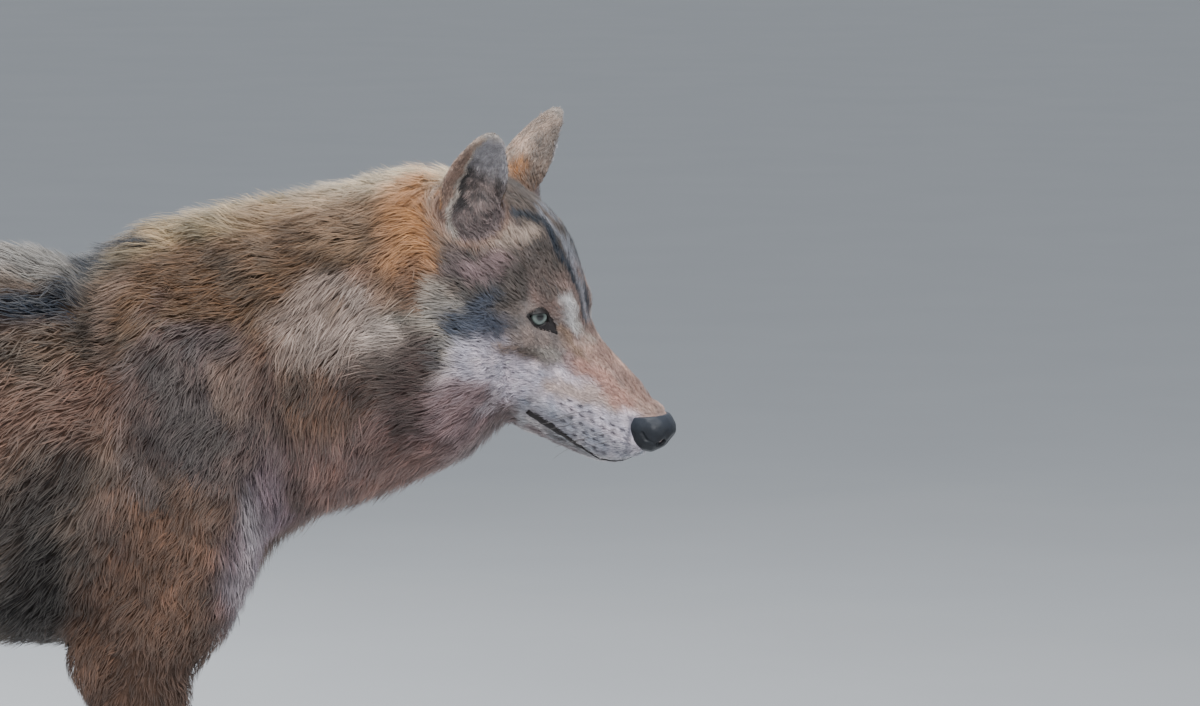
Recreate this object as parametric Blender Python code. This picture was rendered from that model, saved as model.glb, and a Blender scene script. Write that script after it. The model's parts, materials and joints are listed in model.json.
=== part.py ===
"""A life-size grey wolf standing in its winter coat, as a still museum model.

The solids are the animal out to the tips of its coat. Metres; +X runs towards the muzzle, +Y to the
animal's left, +Z up, and the soles stand on Z = 0 below the middle of the whole figure.
The body is lofted as a few overlapping forms, fused into one skin, and parted by thin cuts.
"""

import math

import bmesh
import bpy
import numpy as np
from mathutils import Matrix, Vector

# Driving dimensions, in metres and degrees.
WITHERS = 0.798  # floor to the mane over the shoulder blades
CHEST_FLOOR = 0.405  # lowest point of the chest
FORE_TRACK = 0.074  # half the distance between the forelegs
HIND_TRACK = 0.070
FORE_STRIDE = {"right": 0.0, "left": -0.045}  # how far each sole stands ahead of its shoulder
HIND_STRIDE = {"right": -0.045, "left": 0.065}
SIDES = {"right": -1, "left": 1}

NOSE_TIP = Vector((0.650, -0.092, 0.6115))
HEAD_PITCH = 38.5  # muzzle below the level
HEAD_YAW = -15.0  # turned to the animal's right
HEAD_ROLL = 4.0
EYE_RADIUS = 0.0120
EYE_AT = Vector((-0.1575, 0.0367, 0.0103))  # left eye, from the nose tip along the head's own axes

STAND_AT = Vector((0.0044, 0.0120, 0))  # the midline of the body, since the turned head widens one side

GAP = 0.0004  # left between pieces that meet
CUT = 0.0008  # thickness of a parting cut
VOXEL = 0.0042
BODY_TRIANGLES = 4100

COLOURS = {
    "coat": (0.235, 0.165, 0.115),
    "nose": (0.020, 0.022, 0.028),
    "eye": (0.42, 0.44, 0.30),
}


def head_frame():
    """The head's own axes: X out along the muzzle, Y to its left, Z up through the brow."""
    turn = Matrix.Rotation(math.radians(HEAD_YAW), 4, "Z")
    nod = Matrix.Rotation(math.radians(HEAD_PITCH), 4, "Y")
    roll = Matrix.Rotation(math.radians(HEAD_ROLL), 4, "X")
    return Matrix.Translation(NOSE_TIP) @ turn @ nod @ roll


HEAD = head_frame()


def clear_scene():
    for obj in list(bpy.data.objects):
        bpy.data.objects.remove(obj, do_unlink=True)


def material(name, colour, roughness):
    made = bpy.data.materials.new(name)
    made.use_nodes = True
    shader = made.node_tree.nodes["Principled BSDF"]
    shader.inputs["Base Color"].default_value = (*colour, 1.0)
    shader.inputs["Roughness"].default_value = roughness
    return made


def add_object(name, mesh):
    obj = bpy.data.objects.new(name, mesh)
    bpy.context.scene.collection.objects.link(obj)
    return obj


def object_from(name, bm):
    bmesh.ops.recalc_face_normals(bm, faces=bm.faces)
    mesh = bpy.data.meshes.new(name)
    bm.to_mesh(mesh)
    bm.free()
    return add_object(name, mesh)


def settle(obj):
    """Puts the object's modifiers and its own placing into its mesh."""
    bpy.context.view_layer.update()
    graph = bpy.context.evaluated_depsgraph_get()
    mesh = bpy.data.meshes.new_from_object(obj.evaluated_get(graph))
    mesh.transform(obj.matrix_world)
    obj.modifiers.clear()
    obj.matrix_world = Matrix.Identity(4)
    obj.data = mesh
    return obj


def smooth_rows(rows, spacing):
    """Rows of numbers run through by a Catmull-Rom curve, at about that spacing along the first three."""
    rows = np.array(rows, float)
    ends = np.vstack([2 * rows[0] - rows[1], rows, 2 * rows[-1] - rows[-2]])
    found = []
    for a, b, c, d in zip(ends, ends[1:], ends[2:], ends[3:]):
        count = max(1, round(np.linalg.norm(c[:3] - b[:3]) / spacing))
        for t in np.arange(count) / count:
            found.append(
                0.5 * (2 * b + (c - a) * t + (2 * a - 5 * b + 4 * c - d) * t**2
                       + (3 * b - a - 3 * c + d) * t**3)
            )
    return np.array([*found, rows[-1]])


def bridge_rings(bm, rings):
    """Closed skin through rings of points, each ring bridged to the next and both ends filled."""
    loops = []
    for ring in rings:
        verts = [bm.verts.new(point) for point in ring]
        loops.append([bm.edges.new(pair) for pair in zip(verts, verts[1:] + verts[:1])])
    for one, other in zip(loops, loops[1:]):
        bmesh.ops.bridge_loops(bm, edges=one + other)
    for loop in (loops[0], loops[-1]):
        bmesh.ops.edgeloop_fill(bm, edges=loop)


def section(count, square):
    """Unit ring in (across, up): a circle at square = 2, boxier above that."""
    ring = []
    for step in range(count):
        angle = 2 * math.pi * step / count
        across, up = math.cos(angle), math.sin(angle)
        size = (abs(across) ** square + abs(up) ** square) ** (-1 / square)
        ring.append((across * size, up * size))
    return ring


def barrel(bm, stations, square=2.2, spacing=0.012, count=28, frame=None):
    """A form made of upright sections along X: (x, y, bottom, top, half width, top narrowing)."""
    rings = []
    for x, y, bottom, top, half, narrow in smooth_rows(stations, spacing):
        ring = []
        for across, up in section(count, square):
            wide = half * across * (1 - narrow * up)
            point = Vector((x, y + wide, (top + bottom) / 2 + up * (top - bottom) / 2))
            ring.append(frame @ point if frame else point)
        rings.append(ring)
    bridge_rings(bm, rings)


def limb(bm, stations, square=2.0, spacing=0.012, count=18):
    """A tube down a bent line: (x, y, z, half depth fore and aft, half width across)."""
    rows = smooth_rows(stations, spacing)
    rings = []
    for row, back, ahead in zip(rows, [rows[0], *rows[:-1]], [*rows[1:], rows[-1]]):
        along = Vector(ahead[:3] - back[:3]).normalized()
        across = Vector((0, 1, 0))
        across = (across - along * across.dot(along)).normalized()
        depth = along.cross(across)
        centre = Vector(row[:3])
        rings.append(
            [centre + across * a * row[4] + depth * d * row[3] for a, d in section(count, square)]
        )
    bridge_rings(bm, rings)


def ball(bm, centre, radii, frame=None, turn=0.0, count=20):
    """An ellipsoid, turned by some degrees about its own upright axis."""
    place = Matrix.Translation(centre) @ Matrix.Rotation(math.radians(turn), 4, "Z")
    place = (frame or Matrix.Identity(4)) @ place @ Matrix.Diagonal((*radii, 1))
    bmesh.ops.create_uvsphere(bm, u_segments=count, v_segments=count * 2 // 3, radius=1, matrix=place)


# ---------------------------------------------------------------- the fused body


def trunk_form(bm):
    """Rib cage, loin and croup. The back dips just behind the mane, at x = 0.13."""
    barrel(
        bm,
        [
            (-0.552, 0, 0.610, 0.680, 0.034, 0.0),
            (-0.525, 0, 0.545, 0.716, 0.072, 0.05),
            (-0.450, 0, 0.492, 0.750, 0.100, 0.10),
            (-0.340, 0, 0.468, 0.767, 0.103, 0.10),
            (-0.200, 0, 0.440, 0.774, 0.112, 0.06),
            (-0.050, 0, 0.414, 0.780, 0.128, 0.04),
            (0.060, 0, CHEST_FLOOR, 0.775, 0.133, 0.06),
            (0.128, 0, 0.407, 0.757, 0.128, 0.12),
            (0.190, 0, 0.416, 0.760, 0.118, 0.15),
            (0.250, 0, 0.440, 0.750, 0.100, 0.10),
            (0.298, 0, 0.505, 0.720, 0.062, 0.0),
        ],
        square=2.15,
    )


def neck_form(bm):
    """Mane above and throat ruff below, bending to the right as it reaches the head."""
    barrel(
        bm,
        [
            (0.060, 0, 0.580, 0.730, 0.070, 0.10),
            (0.110, 0, 0.530, 0.754, 0.102, 0.14),
            (0.150, 0, 0.495, WITHERS - 0.018, 0.114, 0.18),
            (0.188, 0, 0.478, WITHERS + 0.001, 0.120, 0.20),
            (0.255, 0, 0.482, 0.813, 0.122, 0.20),
            (0.310, -0.002, 0.513, 0.822, 0.122, 0.16),
            (0.360, -0.010, 0.535, 0.833, 0.124, 0.12),
            (0.405, -0.020, 0.550, 0.845, 0.126, 0.10),
            (0.440, -0.032, 0.564, 0.848, 0.120, 0.10),
            (0.475, -0.040, 0.590, 0.836, 0.100, 0.05),
            (0.497, -0.048, 0.612, 0.800, 0.070, 0.0),
        ],
        square=2.1,
    )


def skull_form(bm):
    """Head in its own axes: muzzle, stop, forehead and the cheeks that fill out behind the eyes."""
    barrel(
        bm,
        [
            (-0.010, 0, -0.040, -0.002, 0.0145, 0.15),
            (-0.021, 0, -0.050, 0.004, 0.0205, 0.18),
            (-0.042, 0, -0.064, 0.0120, 0.0265, 0.25),
            (-0.072, 0, -0.070, 0.0168, 0.0305, 0.30),
            (-0.102, 0, -0.074, 0.0205, 0.0350, 0.32),
            (-0.122, 0, -0.078, 0.0275, 0.0410, 0.28),
            (-0.137, 0, -0.081, 0.0390, 0.0470, 0.18),
            (-0.152, 0, -0.083, 0.0530, 0.0535, 0.12),
            (-0.178, 0, -0.086, 0.0700, 0.0640, 0.08),
            (-0.203, 0, -0.089, 0.0785, 0.0720, 0.08),
            (-0.235, 0, -0.090, 0.0795, 0.0780, 0.10),
            (-0.270, 0, -0.086, 0.0710, 0.0780, 0.12),
            (-0.305, 0, -0.070, 0.0480, 0.0650, 0.10),
        ],
        square=2.35,
        spacing=0.008,
        frame=HEAD,
    )
    barrel(  # lower jaw and chin
        bm,
        [
            (-0.0165, 0, -0.0460, -0.034, 0.0080, 0.0),
            (-0.0215, 0, -0.0560, -0.034, 0.0140, 0.0),
            (-0.0320, 0, -0.0645, -0.034, 0.0175, 0.0),
            (-0.0450, 0, -0.0700, -0.034, 0.0190, 0.0),
            (-0.0640, 0, -0.0760, -0.034, 0.0215, 0.0),
            (-0.0930, 0, -0.0845, -0.034, 0.0275, -0.05),
            (-0.1120, 0, -0.0915, -0.034, 0.0330, -0.08),
            (-0.1320, 0, -0.1000, -0.034, 0.0405, -0.08),
            (-0.1650, 0, -0.1150, -0.036, 0.0520, -0.10),
            (-0.2150, 0, -0.1300, -0.036, 0.0650, -0.10),
        ],
        square=2.2,
        spacing=0.008,
        frame=HEAD,
    )
    for side in SIDES.values():
        # Arch below the eye, brow above it, lip pad at the canine, and the ruff that flares from the jaw.
        ball(bm, (-0.182, side * 0.050, -0.014), (0.050, 0.026, 0.034), HEAD, side * -14)
        ball(bm, (-0.149, side * 0.027, 0.0365), (0.022, 0.0150, 0.0100), HEAD, side * -20)
        ball(bm, (-0.048, side * 0.0155, -0.045), (0.032, 0.0135, 0.0195), HEAD, side * -6)
        ball(bm, (-0.222, side * 0.070, -0.040), (0.058, 0.034, 0.056), HEAD, side * -20)
        ball(bm, (-0.262, side * 0.066, -0.066), (0.058, 0.036, 0.052), HEAD, side * -12)
        ball(bm, (-0.258, side * 0.050, 0.050), (0.036, 0.026, 0.030), HEAD)  # root of the ear


def stride_shift(stations, stride, hip):
    """Leans a leg so that its sole moves by stride while its joint at that height stays."""
    return [(x + stride * max(0, 1 - z / hip), y, z, d, w) for x, y, z, d, w in stations]


def foreleg_form(bm, side, stride):
    """Shoulder blade, point of the shoulder, elbow, wrist and pastern."""
    limb(
        bm,
        stride_shift(
            [
                (0.150, side * 0.045, 0.748, 0.020, 0.018),
                (0.168, side * 0.068, 0.712, 0.046, 0.036),
                (0.206, side * 0.084, 0.645, 0.064, 0.045),
                (0.234, side * 0.092, 0.560, 0.062, 0.046),
                (0.214, side * 0.090, 0.475, 0.060, 0.044),
                (0.176, side * 0.084, 0.412, 0.052, 0.042),
                (0.173, side * 0.079, 0.350, 0.047, 0.038),
                (0.175, side * 0.076, 0.270, 0.036, 0.032),
                (0.180, side * FORE_TRACK, 0.195, 0.030, 0.028),
                (0.181, side * FORE_TRACK, 0.160, 0.031, 0.029),
                (0.187, side * FORE_TRACK, 0.110, 0.026, 0.027),
                (0.203, side * FORE_TRACK, 0.060, 0.028, 0.032),
                (0.218, side * FORE_TRACK, 0.036, 0.024, 0.032),
            ],
            stride,
            0.50,
        ),
        square=2.15,
    )
    ball(bm, (0.132 + stride * 0.2, side * 0.080, 0.405), (0.030, 0.026, 0.034))  # point of the elbow


def hindleg_form(bm, side, stride):
    """Thigh, knee, gaskin, hock and the long upright of the hind foot."""
    limb(
        bm,
        stride_shift(
            [
                (-0.400, side * 0.035, 0.715, 0.030, 0.020),
                (-0.405, side * 0.055, 0.680, 0.072, 0.036),
                (-0.402, side * 0.074, 0.605, 0.100, 0.046),
                (-0.374, side * 0.082, 0.525, 0.098, 0.046),
                (-0.345, side * 0.084, 0.455, 0.074, 0.042),
                (-0.362, side * 0.080, 0.385, 0.054, 0.037),
                (-0.415, side * 0.076, 0.310, 0.040, 0.031),
                (-0.462, side * 0.072, 0.250, 0.031, 0.026),
                (-0.478, side * HIND_TRACK, 0.205, 0.028, 0.025),
                (-0.478, side * HIND_TRACK, 0.140, 0.023, 0.023),
                (-0.470, side * HIND_TRACK, 0.085, 0.023, 0.025),
                (-0.455, side * HIND_TRACK, 0.048, 0.025, 0.029),
                (-0.440, side * HIND_TRACK, 0.032, 0.022, 0.030),
            ],
            stride,
            0.56,
        ),
        square=2.1,
    )
    ball(bm, (-0.492 + stride * 0.52, side * 0.071, 0.258), (0.019, 0.017, 0.028))  # point of the hock


def tail_form(bm):
    """Bushy tail hanging at rest behind the hocks."""
    limb(
        bm,
        [
            (-0.490, 0.000, 0.690, 0.026, 0.030),
            (-0.530, 0.001, 0.684, 0.034, 0.036),
            (-0.568, 0.003, 0.652, 0.040, 0.040),
            (-0.592, 0.005, 0.600, 0.045, 0.043),
            (-0.604, 0.008, 0.540, 0.050, 0.047),
            (-0.607, 0.012, 0.460, 0.053, 0.050),
            (-0.602, 0.015, 0.370, 0.050, 0.046),
            (-0.596, 0.016, 0.300, 0.038, 0.035),
            (-0.592, 0.016, 0.252, 0.020, 0.019),
            (-0.590, 0.016, 0.232, 0.006, 0.006),
        ],
    )


def paw_plan(kind, side):
    """Where a paw's centre lies, and its half length and half width."""
    if kind == "fore":
        return 0.240 + FORE_STRIDE[side], SIDES[side] * FORE_TRACK, 0.056, 0.043
    return -0.418 + HIND_STRIDE[side], SIDES[side] * HIND_TRACK, 0.049, 0.037


def toes_of(kind, side):
    """Centre and splay in degrees of each of a paw's four toes, from the inner one out."""
    x, y, length, width = paw_plan(kind, side)
    for place in (-1.5, -0.5, 0.5, 1.5):
        ahead = 0.50 if abs(place) < 1 else 0.14
        yield x + ahead * length, y + place * width * 0.46, place * 7


def paw_form(bm, kind, side):
    x, y, length, width = paw_plan(kind, side)
    ball(bm, (x - 0.22 * length, y, 0.030), (length * 0.80, width * 0.84, 0.029))
    ball(bm, (x - 0.30 * length, y, 0.010), (length * 0.42, width * 0.62, 0.016))  # heel pad
    for toe_x, toe_y, splay in toes_of(kind, side):
        ball(bm, (toe_x, toe_y, 0.0165), (length * 0.46, width * 0.255, 0.0195), turn=splay)


def fused_body():
    """Every form of flesh and coat as one closed skin, finest at the head and paws."""
    bm = bmesh.new()
    trunk_form(bm)
    neck_form(bm)
    skull_form(bm)
    tail_form(bm)
    for name, side in SIDES.items():
        foreleg_form(bm, side, FORE_STRIDE[name])
        hindleg_form(bm, side, HIND_STRIDE[name])
        paw_form(bm, "fore", name)
        paw_form(bm, "hind", name)
    body = object_from("body", bm)
    remesh = body.modifiers.new("fuse", "REMESH")
    remesh.mode = "VOXEL"
    remesh.voxel_size = VOXEL
    settle(body)
    broad = body.vertex_groups.new(name="broad")
    level = HEAD.inverted()
    for vert in body.data.vertices:
        local = level @ vert.co
        kept = vert.co.z < 0.075 or local.x > -0.20 and -0.14 < local.z < 0.12
        broad.add([vert.index], 0.0 if kept else 1.0, "REPLACE")
    for group, times in (("broad", 22), ("", 5)):
        soften = body.modifiers.new("soften", "SMOOTH")
        soften.factor = 0.5
        soften.iterations = times
        soften.vertex_group = group
    settle(body)

    fine = body.vertex_groups.new(name="fine")
    for vert in body.data.vertices:
        local = level @ vert.co
        face = local.x > -0.20 and -0.13 < local.z < 0.12
        paw = vert.co.z < 0.07
        fine.add([vert.index], 0.5 if face else 0.8 if paw else 1.0, "REPLACE")
    thin = body.modifiers.new("thin", "DECIMATE")
    thin.ratio = BODY_TRIANGLES / (2 * len(body.data.polygons))
    thin.vertex_group = "fine"
    thin.vertex_group_factor = 1e-4
    return settle(body)


# ---------------------------------------------------------------- cutting it into named parts


def combine(obj, other, operation):
    """A Boolean of two objects, put into the first one's mesh. The second is used up."""
    cut = obj.modifiers.new("cut", "BOOLEAN")
    cut.operation = operation
    cut.solver = "EXACT"
    cut.object = other
    settle(obj)
    bpy.data.objects.remove(other, do_unlink=True)
    return obj


def disc(bm, centre, normal, radius, radius_across=None):
    """A thin round slice: what it passes through is parted there."""
    facing = Vector(normal).normalized().to_track_quat("Z", "Y").to_matrix().to_4x4()
    oval = Matrix.Diagonal((radius, radius_across or radius, 1, 1))
    bmesh.ops.create_cone(
        bm, cap_ends=True, segments=32, radius1=1, radius2=1, depth=CUT,
        matrix=Matrix.Translation(centre) @ facing @ oval,
    )


def parting_discs():
    """Throat, tail root, shoulders, hips, wrists and hocks."""
    bm = bmesh.new()
    disc(bm, (0.428, -0.030, 0.712), (1, -0.20, 0.06), 0.180)
    disc(bm, (0.262, 0, 0.640), (1, 0, 0.30), 0.235)
    disc(bm, (-0.543, 0.001, 0.660), (-1, 0, -0.06), 0.110)
    for name, side in SIDES.items():
        lean = FORE_STRIDE[name]
        disc(bm, (0.190, side * 0.128, 0.482), (-0.10, -side * 0.86, 1), 0.150, 0.150)
        disc(bm, (0.181 + lean * 0.66, side * FORE_TRACK, 0.170), (0, 0, 1), 0.060)
        lean = HIND_STRIDE[name]
        disc(bm, (-0.380, side * 0.120, 0.510), (0.28, -side * 0.95, 1), 0.180, 0.150)
        disc(bm, (-0.476 + lean * 0.66, side * HIND_TRACK, 0.190), (0, 0, 1), 0.055)
    return object_from("discs", bm)


def mouth_blade():
    """A slit along the lip line, and down behind the corner of the mouth to free the front of the jaw."""
    line = [
        (0.010, -0.0365), (-0.0160, -0.0400), (-0.0229, -0.0475), (-0.0329, -0.0574), (-0.0463, -0.0631),
        (-0.0592, -0.0659), (-0.0745, -0.0649), (-0.1108, -0.0655), (-0.1240, -0.0700), (-0.1350, -0.0850),
        (-0.0800, -0.1540),
    ]
    bm = bmesh.new()
    far = 0.075
    verts = [bm.verts.new((x, -far, z)) for x, z in line]
    edges = [bm.edges.new(pair) for pair in zip(verts, verts[1:])]
    made = bmesh.ops.extrude_edge_only(bm, edges=edges)["geom"]
    moved = [item for item in made if isinstance(item, bmesh.types.BMVert)]
    bmesh.ops.translate(bm, verts=moved, vec=(0, 2 * far, 0))
    bm.transform(HEAD)
    blade = object_from("blade", bm)
    wall = blade.modifiers.new("wall", "SOLIDIFY")
    wall.thickness = 0.0012
    wall.offset = 0
    return settle(blade)


def floor_block():
    """Takes off what reaches below the floor, so that every pad rests on a flat."""
    bm = bmesh.new()
    place = Matrix.Translation((0, 0, -0.05)) @ Matrix.Diagonal((2, 1, 0.10, 1))
    bmesh.ops.create_cube(bm, size=1, matrix=place)
    return object_from("below_floor", bm)


def nose_form(grow):
    """The bare nose pad, grown by a clearance where it is used to cut its bed."""
    bm = bmesh.new()
    barrel(
        bm,
        [
            (-0.0370, 0, -0.0220, -0.0040, 0.0110 + grow, 0.1),
            (-0.0335, 0, -0.0270 - grow, 0.0078 + grow, 0.0190 + grow, 0.1),
            (-0.0220, 0, -0.0310 - grow, 0.0086 + grow, 0.0218 + grow, 0.12),
            (-0.0120, 0, -0.0312 - grow, 0.0070 + grow, 0.0205 + grow, 0.15),
            (-0.0050, 0, -0.0272 - grow, 0.0042 + grow, 0.0168 + grow, 0.15),
            (-0.0005 + grow, 0, -0.0180, -0.0005, 0.0095, 0.1),
        ],
        square=2.5,
        spacing=0.007,
        count=16,
        frame=HEAD,
    )
    return object_from("nose_pad", bm)


def nostrils():
    bm = bmesh.new()
    for side in SIDES.values():
        ball(bm, (-0.0015, side * 0.0110, -0.0120), (0.0075, 0.0042, 0.0040), HEAD, side * 30, 10)
    return object_from("nostrils", bm)


def eye_form(side, grow):
    bm = bmesh.new()
    centre = HEAD @ Vector((EYE_AT.x, side * EYE_AT.y, EYE_AT.z))
    place = Matrix.Translation(centre)
    radius = EYE_RADIUS + grow
    bmesh.ops.create_uvsphere(bm, u_segments=16, v_segments=10, radius=radius, matrix=place)
    return object_from("eye", bm)


def eye_opening(side):
    """The gap between the lids, an oval sunk into the coat in front of the eyeball."""
    bm = bmesh.new()
    at = Vector((EYE_AT.x + 0.0095, side * (EYE_AT.y + 0.0065), EYE_AT.z + 0.0025))
    gaze = Matrix.Rotation(math.radians(side * 58), 4, "Z")
    place = HEAD @ Matrix.Translation(at) @ gaze @ Matrix.Diagonal((0.011, 0.0145, 0.0068, 1))
    bmesh.ops.create_uvsphere(bm, u_segments=16, v_segments=10, radius=1, matrix=place)
    return object_from("opening", bm)


def ear_form(side):
    """A cupped leaf of gristle and fur, open to the front and outside, rounded at the tip."""
    base = Vector((-0.2555, side * 0.0575, 0.0400))
    tip = Vector((-0.2770, side * 0.0940, 0.1315))
    facing = Vector((0.55, side * 0.83, 0.0))  # the way the cup opens, before it is squared to the axis
    axis = (tip - base).normalized()
    facing = (facing - axis * facing.dot(axis)).normalized()
    across = axis.cross(facing)
    # share of the height, half width, depth of the cup, wall, lean towards the back
    plan = [
        (0.00, 0.0240, 0.0270, 0.0100, 0.000),
        (0.18, 0.0300, 0.0265, 0.0080, 0.000),
        (0.38, 0.0315, 0.0230, 0.0068, 0.001),
        (0.58, 0.0270, 0.0170, 0.0060, 0.002),
        (0.76, 0.0200, 0.0105, 0.0054, 0.002),
        (0.90, 0.0138, 0.0060, 0.0050, 0.000),
        (0.975, 0.0085, 0.0040, 0.0044, -0.001),
        (1.00, 0.0045, 0.0026, 0.0034, -0.002),
    ]
    steps = [k / 9 * 2 - 1 for k in range(10)]
    rings = []
    for share, half, depth, wall, lean in plan:
        centre = base + axis * (tip - base).length * share - facing * lean
        outer = [
            centre + across * half * s - facing * depth * (1 - abs(s) ** 2.2) for s in steps
        ]
        inner = [
            centre + across * half * 0.94 * s + facing * (wall * 0.55 - max(0.0, depth - wall)
                                                          * (1 - abs(s) ** 2.0))
            for s in reversed(steps)
        ]
        rings.append([HEAD @ point for point in outer + inner])
    bm = bmesh.new()
    bridge_rings(bm, rings)
    return object_from("ear", bm)


def claws_of(kind, side):
    """Four blunt claws, curving down from the toes and clear of the floor."""
    bm = bmesh.new()
    x, y, length, width = paw_plan(kind, side)
    for toe_x, toe_y, splay in toes_of(kind, side):
        turn = Matrix.Rotation(math.radians(splay), 4, "Z")
        root = Vector((toe_x, toe_y, 0))
        rings = []
        for share in (0, 0.45, 0.8, 1):
            reach = 0.36 * length + 0.0140 * share
            height = 0.0185 - 0.0120 * share**1.6
            size = 0.0036 * (1 - 0.70 * share)
            ring = [
                root + turn @ Vector((reach, across * size * 0.8, height + up * size))
                for across, up in section(6, 2.0)
            ]
            rings.append(ring)
        one = bmesh.new()
        bridge_rings(one, rings)
        mesh = bpy.data.meshes.new("claw")
        bmesh.ops.recalc_face_normals(one, faces=one.faces)
        one.to_mesh(mesh)
        one.free()
        bm.from_mesh(mesh)
    return object_from("claws", bm)


def split(obj):
    """The closed shells of an object, each as (mesh, middle of its box)."""
    bm = bmesh.new()
    bm.from_mesh(obj.data)
    bm.verts.ensure_lookup_table()
    left = set(bm.verts)
    shells = []
    while left:
        shell, edge = set(), [left.pop()]
        while edge:
            vert = edge.pop()
            shell.add(vert)
            near = {e.other_vert(vert) for e in vert.link_edges} & left
            left -= near
            edge.extend(near)
        shells.append({vert.index for vert in shell})
    bm.free()
    found = []
    for shell in shells:
        piece = bmesh.new()
        piece.from_mesh(obj.data)
        extra = [vert for vert in piece.verts if vert.index not in shell]
        bmesh.ops.delete(piece, geom=extra, context="VERTS")
        low = Vector(map(min, zip(*(vert.co for vert in piece.verts))))
        high = Vector(map(max, zip(*(vert.co for vert in piece.verts))))
        mesh = bpy.data.meshes.new("shell")
        piece.to_mesh(mesh)
        piece.free()
        found.append((mesh, (low + high) / 2))
    bpy.data.objects.remove(obj, do_unlink=True)
    return found


def name_shells(shells):
    """Gives each shell the name of the place that its middle is nearest to."""
    places = {
        "trunk": Vector((-0.13, 0, 0.59)),
        "neck": Vector((0.36, -0.01, 0.67)),
        "head": HEAD @ Vector((-0.13, 0, -0.01)),
        "lower_jaw": HEAD @ Vector((-0.09, 0, -0.072)),
        "tail": Vector((-0.60, 0.01, 0.46)),
    }
    for name, side in SIDES.items():
        shift = FORE_STRIDE[name]
        places[f"foreleg_{name}"] = Vector((0.190 + shift / 2, side * 0.09, 0.34))
        places[f"forepaw_{name}"] = Vector((0.215 + shift, side * 0.074, 0.085))
        shift = HIND_STRIDE[name]
        places[f"hindleg_{name}"] = Vector((-0.390 + shift / 2, side * 0.09, 0.38))
        places[f"hindpaw_{name}"] = Vector((-0.440 + shift, side * 0.070, 0.095))
    parts = {}
    for mesh, middle in shells:
        name = min(places, key=lambda place: (places[place] - middle).length)
        if name in parts:
            raise ValueError(f"two shells near {name}: {middle}")
        parts[name] = add_object(name, mesh)
    missing = sorted(set(places) - set(parts))
    if missing:
        raise ValueError(f"no shell near {missing}")
    return parts


def grown_copy(obj, by):
    """A copy pushed out along its normals, to cut its neighbour with a clearance."""
    copy = add_object(obj.name + "_grown", obj.data.copy())
    push = copy.modifiers.new("push", "DISPLACE")
    push.strength = by
    push.mid_level = 0
    return settle(copy)


def main():
    clear_scene()
    body = combine(fused_body(), floor_block(), "DIFFERENCE")
    combine(body, parting_discs(), "DIFFERENCE")
    combine(body, mouth_blade(), "DIFFERENCE")
    parts = name_shells(split(body))

    head = parts["head"]
    combine(head, nose_form(GAP), "DIFFERENCE")
    combine(parts["lower_jaw"], nose_form(GAP), "DIFFERENCE")
    parts["nose_pad"] = combine(nose_form(0), nostrils(), "DIFFERENCE")
    for name, side in SIDES.items():
        combine(head, eye_opening(side), "DIFFERENCE")
        combine(head, eye_form(side, GAP), "DIFFERENCE")
        parts[f"eye_{name}"] = eye_form(side, 0)
        parts[f"eye_{name}"].name = f"eye_{name}"
        ear = ear_form(side)
        ear.name = f"ear_{name}"
        combine(ear, grown_copy(parts["head"], GAP), "DIFFERENCE")
        parts[ear.name] = combine(ear, grown_copy(parts["neck"], GAP), "DIFFERENCE")
        for kind in ("fore", "hind"):
            combine(parts[f"{kind}paw_{name}"], claws_of(kind, name), "UNION")

    finishes = {
        "coat": material("winter_coat", COLOURS["coat"], 0.9),
        "nose": material("nose_leather", COLOURS["nose"], 0.4),
        "eye": material("glass_eye", COLOURS["eye"], 0.1),
    }
    for name, obj in parts.items():
        kind = "eye" if name.startswith("eye") else "nose" if name == "nose_pad" else "coat"
        obj.data.materials.clear()
        obj.data.materials.append(finishes[kind])
        obj.data.transform(Matrix.Translation(STAND_AT))
        obj.data.shade_smooth()
        obj.data.set_sharp_from_angle(angle=math.radians(50))


main()
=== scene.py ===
# Looks of a standing grey wolf in winter coat: one skin under the solids' surface, and over it a coat
# of solid locks that follows the lie of the hair out to the outline of the solids. The eyes with
# their lids, the nose, the lips, the claws and the whiskers are pieces of their own.
# Metres, except where a comment says mm; +X towards the muzzle, +Y to the animal's left, +Z up.

import json
import math
from collections import namedtuple

import bmesh
import bpy
import numpy as np
from mathutils import Matrix, Vector
from mathutils.bvhtree import BVHTree
from mathutils.kdtree import KDTree


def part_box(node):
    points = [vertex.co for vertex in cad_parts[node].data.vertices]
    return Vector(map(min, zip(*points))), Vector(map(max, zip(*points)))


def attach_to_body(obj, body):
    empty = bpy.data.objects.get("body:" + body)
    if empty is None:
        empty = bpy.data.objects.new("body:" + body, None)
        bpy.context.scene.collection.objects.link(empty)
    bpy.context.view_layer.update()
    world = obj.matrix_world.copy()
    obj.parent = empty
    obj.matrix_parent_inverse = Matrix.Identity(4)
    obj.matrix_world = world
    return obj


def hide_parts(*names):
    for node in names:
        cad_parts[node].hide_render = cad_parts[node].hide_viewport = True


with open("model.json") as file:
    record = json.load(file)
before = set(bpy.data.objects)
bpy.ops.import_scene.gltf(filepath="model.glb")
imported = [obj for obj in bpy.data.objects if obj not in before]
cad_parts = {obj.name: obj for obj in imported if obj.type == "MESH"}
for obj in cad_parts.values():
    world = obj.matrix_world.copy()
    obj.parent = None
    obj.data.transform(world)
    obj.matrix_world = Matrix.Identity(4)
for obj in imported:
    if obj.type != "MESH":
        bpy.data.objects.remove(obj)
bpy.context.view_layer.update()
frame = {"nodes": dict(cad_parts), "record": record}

MM = 0.001
SEED = 41
SIDES = {"right": -1, "left": 1}
FLESH = [row["node"] for row in frame["record"]["subparts"] if row["material_slot"] == "winter_coat"]

# ---------------------------------------------------------------- the animal's own frames

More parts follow.
